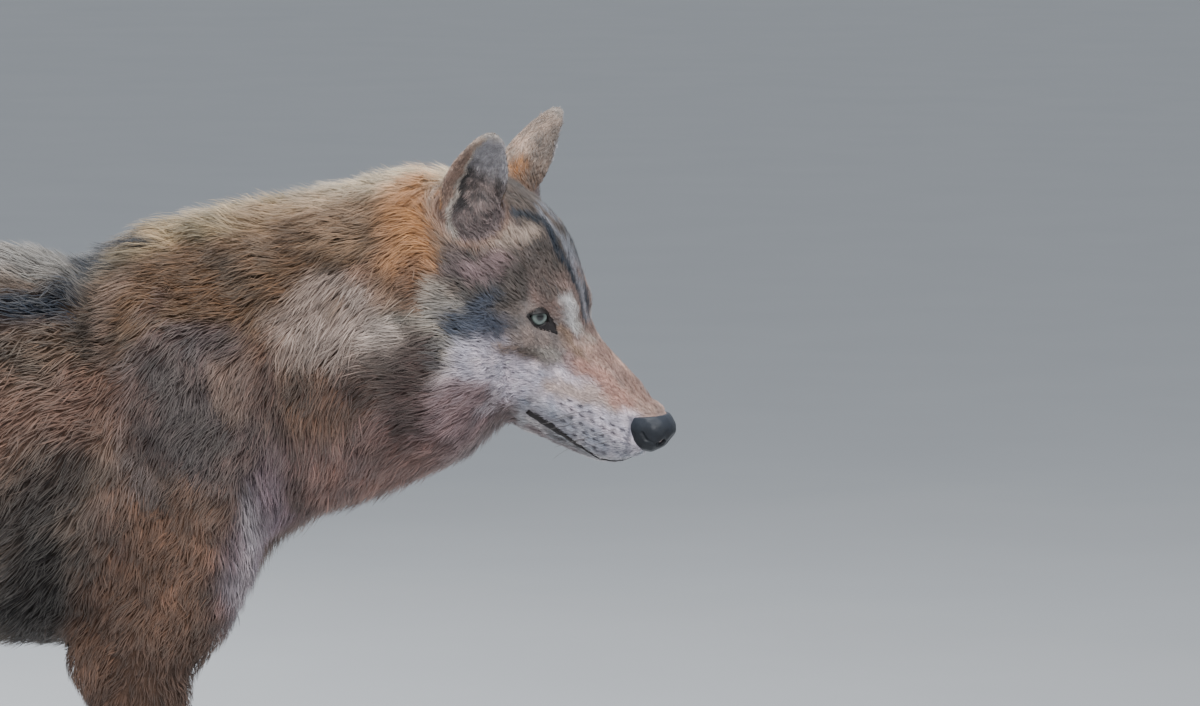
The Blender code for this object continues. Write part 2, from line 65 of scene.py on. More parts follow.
HEAD_TURN = (-15.0, 38.5, 4.0)  # yaw, nod and tilt of the head, in degrees
EYES_IN_HEAD = Vector((-0.1575, 0, 0.0103))  # middle of both eyes, from the nose tip
SPINE_X = (0.3144, 0.3644, 0.4094, 0.4444, 0.4794)  # the neck bends to the right from the withers on
SPINE_Y = (0.0110, 0.0020, -0.0080, -0.0200, -0.0280)
FORE_UPRIGHT_X, HIND_UPRIGHT_X = 0.2281, -0.4281  # where a sole stands when its leg is straight below
FORE_HINGE_Z, HIND_HINGE_Z = 0.50, 0.56
LEG_DIVIDE_X, TAIL_FROM_X = -0.10, -0.545


def box_middle(node):
    low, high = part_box(node)
    return (low + high) / 2


def head_frame():
    """The head's own axes: from the nose tip, X out along the muzzle, Y to its left, Z up."""
    yaw, nod, tilt = (math.radians(angle) for angle in HEAD_TURN)
    turn = Matrix.Rotation(yaw, 4, "Z") @ Matrix.Rotation(nod, 4, "Y") @ Matrix.Rotation(tilt, 4, "X")
    between = (box_middle("eye_left") + box_middle("eye_right")) / 2
    return Matrix.Translation(between - turn @ EYES_IN_HEAD) @ turn


HEAD = head_frame()
HEAD_AXES = np.array(HEAD.to_3x3())
HEAD_ORIGIN = np.array(HEAD.translation)
SOLES = {mount["name"]: mount["pos_m"][0] for mount in frame["record"]["mounts"]}


def in_head(points):
    return (points - HEAD_ORIGIN) @ HEAD_AXES


def from_head(points):
    return np.asarray(points) @ HEAD_AXES.T + HEAD_ORIGIN


def straightened(points):
    """Points as (along, out, up) with neck and legs brought straight, and their side: -1 right, 1 left."""
    x, y, z = points.T
    out = y - np.interp(x, SPINE_X, SPINE_Y)
    left = out > 0
    fore = x > LEG_DIVIDE_X
    lean = np.where(
        fore,
        np.where(left, SOLES["sole_fore_left"], SOLES["sole_fore_right"]) - FORE_UPRIGHT_X,
        np.where(left, SOLES["sole_hind_left"], SOLES["sole_hind_right"]) - HIND_UPRIGHT_X,
    )
    lean = np.where(x < TAIL_FROM_X, 0, lean)
    hinge = np.where(fore, FORE_HINGE_Z, HIND_HINGE_Z)
    straight = x - lean * np.clip(1 - z / hinge, 0, 1)
    return np.stack([straight, np.abs(out), z], 1), np.where(left, 1, -1)


def mirrored_head(points):
    """Points in the head's axes with the far half folded onto the near one, and their side."""
    local = in_head(points)
    side = np.where(local[:, 1] > 0, 1, -1)
    local[:, 1] = np.abs(local[:, 1])
    return local, side


# ---------------------------------------------------------------- small numeric helpers


def linear(code):
    """An sRGB hex colour as linear RGB."""
    parts = [int(code[at:at + 2], 16) / 255 for at in (1, 3, 5)]
    return np.array([p / 12.92 if p <= 0.04045 else ((p + 0.055) / 1.055) ** 2.4 for p in parts])


def unit(vectors):
    """Vectors brought to length 1."""
    return vectors / np.maximum(np.linalg.norm(vectors, axis=-1, keepdims=True), 1e-9)


def smooth(low, high, value):
    """0 up to low, 1 from high on, and an even rise between."""
    t = np.clip((value - low) / (high - low), 0, 1)
    return t * t * (3 - 2 * t)


def from_line(points, line):
    """Distance from each point to a line of joined straight runs."""
    line = np.asarray(line, float)
    if len(line) == 1:
        return np.linalg.norm(points - line[0], axis=1)
    near = np.full(len(points), 1e9)
    for a, b in zip(line, line[1:]):
        run = b - a
        t = np.clip((points - a) @ run / max(run @ run, 1e-12), 0, 1)
        near = np.minimum(near, np.linalg.norm(points - a - t[:, None] * run, axis=1))
    return near


def beside(points, line, low, high):
    """1 within low mm of a line, and 0 past high mm."""
    return 1 - smooth(low * MM, high * MM, from_line(points, line))


def ripple(points, span, phase):
    """A smooth, patternless wave from about -1 to 1, with hills about span across."""
    value = 0
    for k, heading in enumerate(((1, 0.6, -0.4), (-0.5, 1.1, 0.7), (0.6, -0.7, 1.2), (1.3, 0.9, 0.5))):
        scale = 2 * math.pi / span * (0.55 + 0.17 * k)
        value = value + np.sin((points @ np.array(heading)) * scale + phase * (k + 1.7) + 2.1 * k)
    return value / 2.6


def ripples(points, span, phases):
    """One ripple for each axis."""
    return np.stack([ripple(points, span, phase) for phase in phases], 1)


def turned(vectors, about, angle):
    """Vectors turned about their own unit axes, by angles in radians."""
    cos, sin = np.cos(angle)[:, None], np.sin(angle)[:, None]
    return vectors * cos + np.cross(about, vectors) * sin


# ---------------------------------------------------------------- regions of the coat

Region = namedtuple("Region", "piece start end radius depth length width density lie paint")
HEAD_PIECES = ("face", "head")  # placed in the head's axes, and the others in the straightened body's

# Each row is one region of the coat, around the line between two points (along, out, up). Then its
# radius, how deep the coat lies over the skin, and the length and width of a lock, all of these in mm;
# locks per square centimetre, the lie of the hair, and its colour.
COAT = {
    "face": (
        ((-30, 0, 6), (-100, 0, 20), 10, 1.9, 5.8, 0.54, 98, (-1, 0.05, 0.1), "muzzle_tan"),
        ((-35, 22, -22), (-100, 34, -30), 6, 2, 5.8, 0.54, 98, (-1, 0.1, -0.1), "lilac"),
        ((-30, 18, -43), (-100, 32, -56), 4, 2.2, 6.8, 0.58, 89, (-0.9, 0.1, -0.5), "lip_white"),
        ((-26, 8, -58), (-100, 18, -82), 8, 2.6, 7.8, 0.58, 72, (-1, 0.05, -0.2), "chin_white"),
        ((-115, 0, 30), (-150, 0, 52), 8, 2.8, 7.8, 0.58, 80, (-0.9, 0.15, 0.45), "brow_grey"),
        ((-132, 48, -4), (-165, 58, 12), 4, 2.2, 6.8, 0.51, 94, (-1, 0.35, -0.1), "eye_tan"),
        ((-148, 30, 40), (-168, 46, 36), 4, 3, 7.8, 0.54, 89, (-0.9, 0.25, 0.3), "brow_grey"),
    ),
    "head": (
        ((-180, 20, 70), (-240, 25, 80), 8, 4.2, 12, 0.62, 65, (-1, 0.05, 0.1), "olive"),
        ((-185, 62, 22), (-225, 78, 20), 8, 5.6, 15, 0.62, 57, (-1, 0.1, -0.12), "olive"),
        ((-140, 52, -40), (-180, 78, -48), 8, 5.6, 16, 0.65, 53, (-1, 0.2, -0.42), "lilac"),
        ((-215, 100, -45), (-250, 110, -85), 10, 11, 30, 0.79, 29, (-0.7, 0.12, -0.75), "ruff_grey"),
        ((-150, 70, -85), (-180, 80, -110), 10, 9, 23, 0.79, 29, (-0.85, 0.15, -0.6), "cheek_rose"),
        ((-130, 20, -100), (-190, 20, -145), 14, 9, 21, 0.79, 27, (-0.95, 0.1, -0.45), "throat_pale"),
        ((-258, 62, 50), (-277, 94, 131.5), 12, 0.8, 9, 0.52, 45, (-0.2, 0.36, 0.91), "ear_tan"),
        ((-232, 50, 60), (-240, 70, 30), 6, 4.5, 13, 0.62, 40, (-0.85, 0.25, 0.2), "ear_base"),
    ),
    "neck": (
        ((425, 0, 850), (330, 0, 828), 20, 16, 30, 0.82, 26, (-1, 0.1, 0.02), "nape"),
        ((420, 100, 790), (400, 110, 740), 12, 14.5, 29, 0.79, 28, (-0.75, 0.05, -0.7), "nape_brown"),
        ((350, 90, 785), (300, 90, 770), 16, 18, 34, 0.82, 26, (-0.95, 0.1, -0.45), "mane"),
        ((365, 110, 725), (335, 112, 650), 14, 18.5, 35, 0.82, 26, (-0.3, 0.05, -1), "arm_brown"),
        ((420, 60, 640), (345, 60, 560), 20, 17.5, 32, 0.85, 23, (-0.45, 0, -0.95), "throat_rose"),
        ((400, 0, 580), (320, 0, 505), 20, 17.5, 32, 0.85, 23, (-0.5, 0, -0.9), "throat_rose"),
    ),
    "shoulder": (
        ((270, 0, 812), (160, 0, 785), 20, 18, 35, 0.85, 23, (-1, 0.12, -0.05), "mane_pale"),
        ((260, 90, 750), (170, 90, 735), 12, 16, 32, 0.85, 23, (-0.9, 0.05, -0.55), "mane"),
        ((215, 118, 680), (235, 122, 590), 10, 12, 26, 0.82, 23, (-0.45, 0, -0.9), "shoulder_grey"),
        ((285, 60, 560), (255, 70, 490), 14, 12, 24, 0.82, 23, (-0.35, 0, -0.95), "arm_grey"),
        ((215, 122, 540), (195, 115, 455), 8, 10, 22, 0.85, 21, (-0.35, 0, -0.95), "arm_brown"),
        ((135, 105, 415), (130, 95, 400), 8, 9, 24, 0.85, 21, (-0.55, 0, -0.85), "arm_brown"),
    ),
    "foreleg": (
        ((180, 85, 400), (177, 76, 270), 26, 6, 14, 1.1, 10, (-0.15, 0, -1), "leg_rufous"),
        ((182, 74, 200), (186, 74, 110), 22, 4.2, 11, 1.05, 10, (-0.05, 0, -1), "leg_tan"),
        ((225, 74, 50), (255, 74, 30), 18, 2.8, 8, 0.95, 13, (0.75, 0, -0.6), "paw_tan"),
    ),
    "trunk": (
        ((120, 0, 768), (-400, 0, 745), 12, 15, 32, 1.08, 10.5, (-1, 0.08, 0), "saddle"),
        ((100, 95, 700), (-330, 95, 685), 12, 14, 31, 1.08, 10.5, (-0.95, 0, -0.38), "flank_up"),
        ((90, 118, 600), (-260, 112, 600), 10, 14, 31, 1.08, 10.5, (-0.72, 0, -0.68), "flank"),
        ((60, 90, 480), (-230, 85, 500), 10, 13.5, 31, 1.08, 10.5, (-0.72, 0, -0.68), "flank_low"),
        ((150, 0, 410), (-280, 0, 460), 16, 12, 26, 1.08, 9.8, (-0.95, 0, -0.25), "belly"),
        ((-430, 40, 735), (-500, 20, 690), 16, 13.5, 31, 1.08, 10.5, (-0.9, 0, -0.45), "rump"),
    ),
    "hindleg": (
        ((-395, 108, 630), (-370, 112, 510), 12, 11, 25, 1.06, 9.8, (-0.5, 0, -0.88), "thigh"),
        ((-490, 60, 590), (-450, 70, 450), 14, 12, 28, 1.06, 9.8, (-0.45, 0, -0.92), "thigh_back"),
        ((-362, 80, 400), (-430, 75, 290), 34, 7, 16, 1.2, 7.4, (-0.5, 0, -0.88), "gaskin"),
        ((-478, 70, 210), (-470, 70, 100), 22, 4.2, 11, 1.05, 8.2, (0, 0, -1), "leg_tan"),
        ((-440, 70, 48), (-400, 70, 30), 18, 2.8, 8, 0.95, 10.7, (0.75, 0, -0.6), "paw_tan"),
    ),
    "tail": (
        ((-545, 0, 680), (-590, 0, 600), 34, 13.5, 42, 1.5, 7, (-0.45, 0, -0.9), "tail"),
        ((-602, 0, 540), (-602, 3, 370), 44, 19, 60, 1.5, 7, (0, 0, -1), "tail"),
        ((-598, 3, 330), (-590, 3, 245), 24, 13, 52, 1.4, 8, (0.02, 0, -1), "tail_tip"),
    ),
}
REGIONS = [Region(piece, *row) for piece, rows in COAT.items() for row in rows]
PIECE_OF = np.array([region.piece for region in REGIONS])

# Colour of each part of the coat, and what share of its locks have a black tip.
PAINTS = {
    "muzzle_tan": ("#b3968a", 0.05),
    "lilac": ("#d8cfdb", 0.04),
    "lip_white": ("#bcb9c2", 0.03),
    "chin_white": ("#d4d0d2", 0.0),
    "brow_grey": ("#857069", 0.25),
    "eye_tan": ("#8e807a", 0.12),
    "olive": ("#574e49", 0.32),
    "ruff_grey": ("#ada498", 0.25),
    "cheek_rose": ("#957c7d", 0.10),
    "throat_pale": ("#8d7b79", 0.08),
    "ear_tan": ("#b59f90", 0.14),
    "ear_base": ("#75665f", 0.12),
    "nape": ("#cdba9e", 0.30),
    "nape_brown": ("#8a6f5c", 0.28),
    "mane": ("#6b523d", 0.36),
    "mane_pale": ("#9d8868", 0.42),
    "cream": ("#cbb7ab", 0.3),
    "nape_gold": ("#a5866a", 0.30),
    "tan_strip": ("#8f7566", 0.18),
    "rib_grey": ("#897e7b", 0.18),
    "throat_rose": ("#8d6d64", 0.10),
    "shoulder_grey": ("#5e4e4b", 0.26),
    "arm_grey": ("#87747d", 0.12),
    "arm_brown": ("#755949", 0.16),
    "leg_rufous": ("#604a3e", 0.12),
    "leg_middle": ("#7a604e", 0.12),
    "leg_tan": ("#96795f", 0.08),
    "paw_tan": ("#a48a74", 0.04),
    "saddle": ("#807b76", 0.50),
    "flank_up": ("#5b493b", 0.36),
    "flank": ("#7d6b5e", 0.24),
    "flank_low": ("#74665c", 0.18),
    "belly": ("#8d8072", 0.08),
    "rump": ("#7d6d61", 0.36),
    "thigh": ("#84705f", 0.22),
    "thigh_back": ("#8d7b6a", 0.12),
    "gaskin": ("#86705e", 0.10),
    "tail": ("#7d6b5c", 0.34),
    "tail_tip": ("#2c2725", 0.30),
    "slate": ("#434b5b", 0.30),
    "slate_olive": ("#5a5c5e", 0.30),
    "white": ("#b4afbc", 0.02),
    "bright_white": ("#ededed", 0.0),
    "eye_brown": ("#8c7462", 0.08),
    "painted_under_eye_shade": ("#71655c", 0.12),
    # Dark of the forehead stripe, also used for painted shade behind the nose.
    "dark_stripe_and_shade": ("#262f3b", 0.25),
    "orange": ("#c08652", 0.06),
    "orange_low": ("#84614a", 0.14),
    "orange_tan": ("#bd9183", 0.03),
    "bridge": ("#8d7067", 0.05),
    "red_brown": ("#8f6c62", 0.06),
    "frost": ("#8b8f99", 0.20),
    "belly_pale": ("#a08f80", 0.06),
    "leg_red": ("#86644e", 0.08),
    "lip_brown": ("#4c3f3b", 0.0),
    "ruff_cream": ("#a79d92", 0.10),
    "dark": ("#4e3c38", 0.15),
    "rufous": ("#66462a", 0.22),
    "black": ("#151f2d", 0.30),
    "black_hair_and_shade": ("#0e0909", 0.20),
    "saddle_cream": ("#807c77", 0.18),
    "arm_pale": ("#b0a7aa", 0.06),
    "slate_brown": ("#504b49", 0.30),
    "ear_lilac": ("#a9a7ad", 0.06),
    "ear_pink": ("#897878", 0.05),
    "ear_shadow": ("#2e2c2d", 0.10),
    "ear_rim": ("#b3a9a0", 0.04),
    "ear_edge": ("#4b4745", 0.10),
    "spot_brown": ("#5d4230", 0.10),
    "temple_dark": ("#57494a", 0.20),
    "ear_fold": ("#96796b", 0.08),
    "temple_tan": ("#b39f90", 0.12),
    "whisker_root": ("#38353d", 0.0),
    "chest_brown": ("#7d675b", 0.16),
    "chest_red": ("#775546", 0.20),
    "elbow_dark": ("#1a1416", 0.22),
    "jaw_lilac": ("#b3a9ae", 0.05),
    "lip_shade": ("#87848f", 0.03),
    "speckle": ("#98948c", 0.20),
    "muzzle_cream": ("#c6aea2", 0.03),
    "jaw_brown": ("#80696a", 0.05),
}

# Markings, laid over the regions' colours in this order. Each is a line of points in mm, the distance
# from it in mm by which it has faded about halfway, how much it covers, and its colour. Both sides of
# the animal carry them.
BODY_MARKINGS = (  # along, out and up in the straightened body
    (((400, 0, 868), (300, 0, 850), (200, 0, 830)), 30, 0.6, "nape"),
    (((224, 87, 741), (171, 97, 729)), 24, 0.8, "rufous"),
    (((320, 110, 755), (290, 110, 700)), 26, 0.35, "rufous"),
    (((256, 117, 665), (265, 123, 630)), 17, 0.6, "tan_strip"),
    (((392, 64, 817), (356, 57, 806), (319, 40, 802), (275, 44, 792)), 30, 0.6, "nape_gold"),
    (((375, 90, 785), (335, 85, 775)), 20, 0.45, "nape_gold"),
    (((300, 116, 700), (314, 122, 675)), 20, 0.35, "cream"),
    (((323, 112, 716), (341, 120, 694), (358, 124, 676)), 25, 0.55, "cream"),
    (((364, 114, 728), (380, 121, 704), (386, 122, 690)), 24, 0.72, "cream"),
    (((350, 116, 716), (356, 118, 708)), 7, 0.6, "rufous"),
    (((146, 85, 737), (144, 98, 694), (140, 110, 650)), 12, 0.55, "tan_strip"),
    (((198, 96, 729), (190, 105, 717)), 12, 0.7, "dark"),
    (((206, 112, 697), (198, 116, 688)), 9, 0.8, "dark"),
    (((190, 122, 652), (215, 128, 605), (235, 130, 560)), 32, 0.32, "slate_brown"),
    (((204, 125, 657), (217, 131, 626), (235, 134, 600)), 22, 0.5, "slate_brown"),
    (((161, 112, 655), (159, 117, 625)), 13, 0.6, "rib_grey"),
    (((93, 122, 643), (65, 119, 660)), 16, 0.5, "tan_strip"),
    (((289, 120, 665), (303, 123, 621), (311, 110, 575), (316, 72, 534)), 11, 0.8, "dark"),
    (((150, 125, 545), (154, 118, 500)), 12, 0.6, "dark"),
    (((414, 128, 690), (398, 126, 668), (363, 123, 648)), 19, 0.85, "dark"),
    (((358, 123, 644), (340, 120, 630)), 12, 0.6, "dark"),
    (((272, 115, 530), (272, 90, 450)), 18, 0.65, "arm_pale"),
    (((345, 0, 585), (310, 0, 510), (265, 0, 450)), 42, 0.75, "chest_brown"),
    (((165, 121, 605), (174, 121, 585), (182, 122, 552)), 11, 0.5, "rib_grey"),
    (((130, 118, 625), (60, 118, 620), (0, 115, 610)), 40, 0.75, "chest_red"),
    # Behind the elbow these dark rows are partly black hair and partly painted shade under the chest.
    (((115, 128, 570), (60, 125, 545), (10, 115, 520)), 32, 0.8, "elbow_dark"),
    (((0, 105, 500), (-90, 100, 495)), 34, 0.35, "dark"),
    (((95, 105, 490), (85, 90, 450), (70, 50, 415)), 40, 0.92, "black_hair_and_shade"),
    (((-120, 60, 470), (-240, 60, 490)), 34, 0.5, "belly_pale"),
    (((70, 0, 775), (-100, 0, 775), (-240, 0, 770)), 26, 0.6, "saddle_cream"),
    (((95, 26, 764), (68, 30, 769), (20, 20, 772)), 15, 0.85, "saddle_cream"),
    (((99, 50, 754), (84, 55, 756), (60, 54, 760)), 8, 0.8, "saddle_cream"),
    (((103, 62, 739), (91, 81, 728), (66, 88, 722), (40, 90, 722)), 22, 1.0, "black"),
    (((165, 18, 778), (135, 10, 768), (112, 16, 764)), 11, 1.0, "black"),
    (((172, 36, 774), (159, 36, 770), (131, 28, 760), (113, 40, 752)), 10, 1.0, "black"),
    (((-10, 60, 752), (-60, 50, 758)), 20, 0.6, "black"),
    (((-110, 70, 735), (-160, 40, 758)), 24, 0.45, "black"),
    (((-200, 80, 730), (-290, 60, 748)), 26, 0.5, "black"),
    (((-290, 0, 775), (-450, 0, 745), (-520, 0, 730)), 24, 0.6, "black"),
    (((-640, 0, 600), (-655, 0, 560)), 22, 0.7, "black"),
    (((185, 95, 300), (190, 100, 120)), 16, 0.35, "leg_red"),
    (((210, 70, 285), (210, 70, 240)), 58, 0.85, "leg_middle"),
    (((180, 45, 380), (180, 45, 120)), 20, 0.5, "belly_pale"),
    (((-440, 30, 480), (-470, 40, 150)), 22, 0.5, "belly_pale"),
    (((225, 70, 380), (215, 70, 200)), 13, 0.5, "dark"),
)
HEAD_MARKINGS = (  # along, out and up in the head's axes
    (((-328, 37, 25), (-303, 75, 6), (-277, 95, -9)), 26, 0.8, "orange"),
    (((-268, 104, -12), (-250, 116, -32)), 14, 0.8, "orange_low"),
    (((-240, 105, -12), (-228, 112, -30)), 13, 0.8, "ruff_cream"),
    (((-205, 125, -62), (-200, 125, -100), (-185, 110, -125)), 22, 0.9, "dark"),
    (((-231, 118, -53), (-215, 120, -68)), 10, 0.6, "dark"),
    (((-167, 108, -70), (-145, 78, -63)), 9, 0.75, "cheek_rose"),
    (((-140, 68, -62), (-130, 55, -78), (-137, 73, -83)), 9, 0.75, "jaw_lilac"),
    (((-136, 58, -60), (-111, 39, -48)), 6, 0.5, "jaw_lilac"),
    # Painted shade on the chin under the lower lip.
    (((-46, 27, -52), (-20.3, 20.3, -32.6)), 5, 0.45, "lip_shade"),
    # Painted shade on the fur along the rear edge of the nose, in the forehead stripe's colour.
    (((-37.5, 21.8, -11.8), (-27.5, 22.1, -27.5)), 3.2, 0.7, "dark_stripe_and_shade"),
    (((-195, 60, 36), (-179, 46, 49), (-160, 42, 41)), 13, 0.75, "olive"),
    (((-185, 62, 20), (-172, 62, 12)), 9, 0.6, "olive"),
    (((-245, 88, 22), (-228, 86, 22), (-240, 98, 5)), 9, 0.65, "temple_dark"),
    (((-224, 86, 18), (-212, 77, 22), (-212, 64, 38)), 11, 0.7, "cheek_rose"),
    (((-226, 112, -22), (-206, 108, -20), (-196, 78, 10)), 15, 0.45, "slate_olive"),
    (((-203, 108, -23), (-186, 95, -14), (-177, 80, -7)), 14, 0.95, "slate"),
    (((-196, 95, -4), (-192, 77, 12)), 9, 0.85, "slate"),
    (((-203, 117, -47), (-197, 119, -62)), 9, 0.6, "slate_olive"),
    (((-189, 109, -37), (-175, 103, -43), (-166, 100, -52)), 9, 0.8, "white"),
    (((-175, 94, -29), (-168, 88, -30)), 6, 0.5, "white"),
    (((-162, 76, -23), (-142, 60, -21)), 7, 0.85, "eye_brown"),
    (((-223, 61, 47), (-220, 53, 58), (-208, 38, 68)), 8, 0.75, "temple_tan"),
    # Painted shade under the eye.
    (((-158, 62, -12), (-140, 52, -17)), 6, 0.8, "painted_under_eye_shade"),
    (((-138, 46, -10), (-122, 37, -8)), 7, 0.5, "speckle"),
    (((-108, 39, -31), (-78, 28, -16), (-56, 21, -8)), 9, 0.85, "muzzle_cream"),
    (((-144, 31, 40), (-134, 27, 31), (-126, 22, 24)), 8.5, 0.62, "bright_white"),
    (((-124, 20, 24), (-112, 14, 18)), 6, 0.5, "speckle"),
    (((-134, 35, 12), (-119, 28, 8), (-103, 21, 8)), 5, 0.85, "eye_brown"),
    (((-112, 29, -4), (-92, 24, -4)), 8, 0.65, "red_brown"),
    (((-100, 24, 0), (-70, 21, -2), (-52, 19, -3)), 9, 0.9, "orange_tan"),
    (((-98, 10, 16), (-66, 8, 13), (-36, 6, 8)), 8, 0.75, "bridge"),
    (((-222, 10, 79), (-181, 6, 70), (-150, 4, 49), (-128, 2, 33)), 5, 0.75, "frost"),
    (((-235, 43, 72), (-223, 27, 75), (-207, 19, 76)), 6, 0.95, "dark_stripe_and_shade"),
    (((-207, 19, 76), (-190, 20, 72), (-175, 18, 65), (-158, 14, 55)), 5.5, 1.0, "dark_stripe_and_shade"),
    (((-158, 14, 55), (-143, 9, 44), (-128, 5, 31)), 4, 0.9, "dark_stripe_and_shade"),
    (((-271, 72, 49),), 8, 0.85, "ear_rim"),
    (((-276, 74, 45), (-270, 75, 38), (-262, 75, 39)), 2.2, 0.85, "ear_shadow"),
    (((-265, 46, 84), (-262, 44, 70)), 8, 0.85, "orange"),
    (((-258, 44, 72),), 3.5, 0.8, "spot_brown"),
    (((-104, 20, -79), (-78, 10, -79), (-60, 8, -74)), 7, 0.75, "jaw_brown"),
    (((-100, 30, -73), (-70, 22, -72), (-50, 19, -67)), 3.5, 0.8, "lip_brown"),
)

MOTTLE_WARMTH = (1.3, 1.0, 0.8)  # how much more red than blue the coat's uneven tone changes
BRINDLE_WARMTH = (1.25, 1.0, 0.72)
WHISKER_ROWS = 5
WHISKER_COLUMNS = 6
SPOT_LONG = (0.5, 1.0)  # the root spots are dashes, twice as long as high
LIP_LINE = (  # along, out and up in the head's axes, from the front of the mouth to its corner
    (-0.0155, 0.000, -0.0405), (-0.0181, 0.009, -0.0416), (-0.0229, 0.014, -0.0475),
    (-0.0329, 0.018, -0.0574), (-0.0463, 0.021, -0.0631), (-0.0592, 0.024, -0.0659),
    (-0.0745, 0.028, -0.0649), (-0.0920, 0.031, -0.0652), (-0.1108, 0.034, -0.0665),
)
MOUTH_GAP = (0.3, 0.3, 0.4, 0.6, 1.2, 2.4, 3.8, 4.8, 3.0)  # half the dark gap at each point, in mm

# Where each piece's hair is unwrapped: a point on its axis and the axis' direction.
UNWRAP = {
    "face": (from_head((-0.10, 0, -0.02)), HEAD_AXES[:, 0]),
    "head": (from_head((-0.15, 0, -0.01)), HEAD_AXES[:, 0]),
    "neck": ((0.37, 0, 0.69), (0.93, 0, 0.37)),
    "shoulder": ((0.20, 0.012, 0.62), (1, 0, 0)),
    "trunk": ((-0.15, 0.012, 0.60), (1, 0, 0)),
    "foreleg": ((0.18, 0.012, 0.25), (0, 0, 1)),
    "hindleg": ((-0.42, 0.012, 0.30), (0, 0, 1)),
    "tail": ((-0.595, 0.028, 0.45), (0, 0, 1)),
}
LEG_OUT = 0.074  # of a leg's middle from the midplane

BLEND = 6 * MM  # over which neighbouring regions go over into each other
FADE = (0.35, 1.55)  # where a marking begins to fade and where it is gone, as shares of its distance

# In the folded head's axes.
BROW_RIDGE = ((-0.142, 0.036, 0.036), (-0.160, 0.046, 0.034))
EAR_BASE = np.array([-0.2555, 0.0575, 0.0400])
EAR_TIP = np.array([-0.2770, 0.0940, 0.1315])
EAR_FACING = np.array([0.55, 0.83, 0.0])
EAR_HALF_WIDTH = 0.028


def region_weights(points):
    """How much each region of the coat counts at each point, and the side it is on."""
    body, body_side = straightened(points)
    head, head_side = mirrored_head(points)
    weights = []
    for region in REGIONS:
        line = np.array((region.start, region.end)) * MM
        near = from_line(head if region.piece in HEAD_PIECES else body, line) - region.radius * MM
        weights.append(1 / (np.maximum(near, 0) + BLEND) ** 4)
    weights = np.array(weights).T
    return weights / weights.sum(1, keepdims=True), body_side, head_side


def lie_of_hair(points, normals, weights, body_side, head_side):
    """The direction in which the hair lies, along the surface."""
    flow = np.zeros_like(points)
    for share, region in zip(weights.T, REGIONS):
        in_heads_axes = region.piece in HEAD_PIECES
        side = head_side if in_heads_axes else body_side
        ahead, out, up = region.lie
        along = unit(np.stack([np.full(len(points), ahead), out * side, np.full(len(points), up)], 1))
        flow += share[:, None] * (along @ HEAD_AXES.T if in_heads_axes else along)
    flow -= normals * (flow * normals).sum(1, keepdims=True)
    return unit(flow)


def ear_share(local):
    """How much a point in the folded head's axes belongs to an ear."""
    return beside(local, (EAR_BASE + (EAR_TIP - EAR_BASE) * 0.22, EAR_TIP), 30, 40)


def ear_place(local):
    """Where a point lies on an ear: from base to tip, and from the front edge (-1) to the rear edge (1)."""
    rise = EAR_TIP - EAR_BASE
    axis = unit(rise)
    backward = unit(np.cross(axis, EAR_FACING))
    up = (local - EAR_BASE) @ axis / np.linalg.norm(rise)
    half = EAR_HALF_WIDTH * np.sqrt(np.clip(1.05 - up, 0.08, 1))
    return up, (local - EAR_BASE) @ backward / half


def whisker_spots():
    """Rows of whisker roots on the side of the muzzle, in the folded head's axes."""
    found = []
    for row in range(WHISKER_ROWS):
        for column in range(WHISKER_COLUMNS - row // 2):
            along = -36 - 10.5 * column - 4 * (row % 2)
            up = -23.5 - 6.8 * row - 1.6 * column
            found.append((along, 18.5 + 2.2 * column, up))
    return np.array(found) * MM


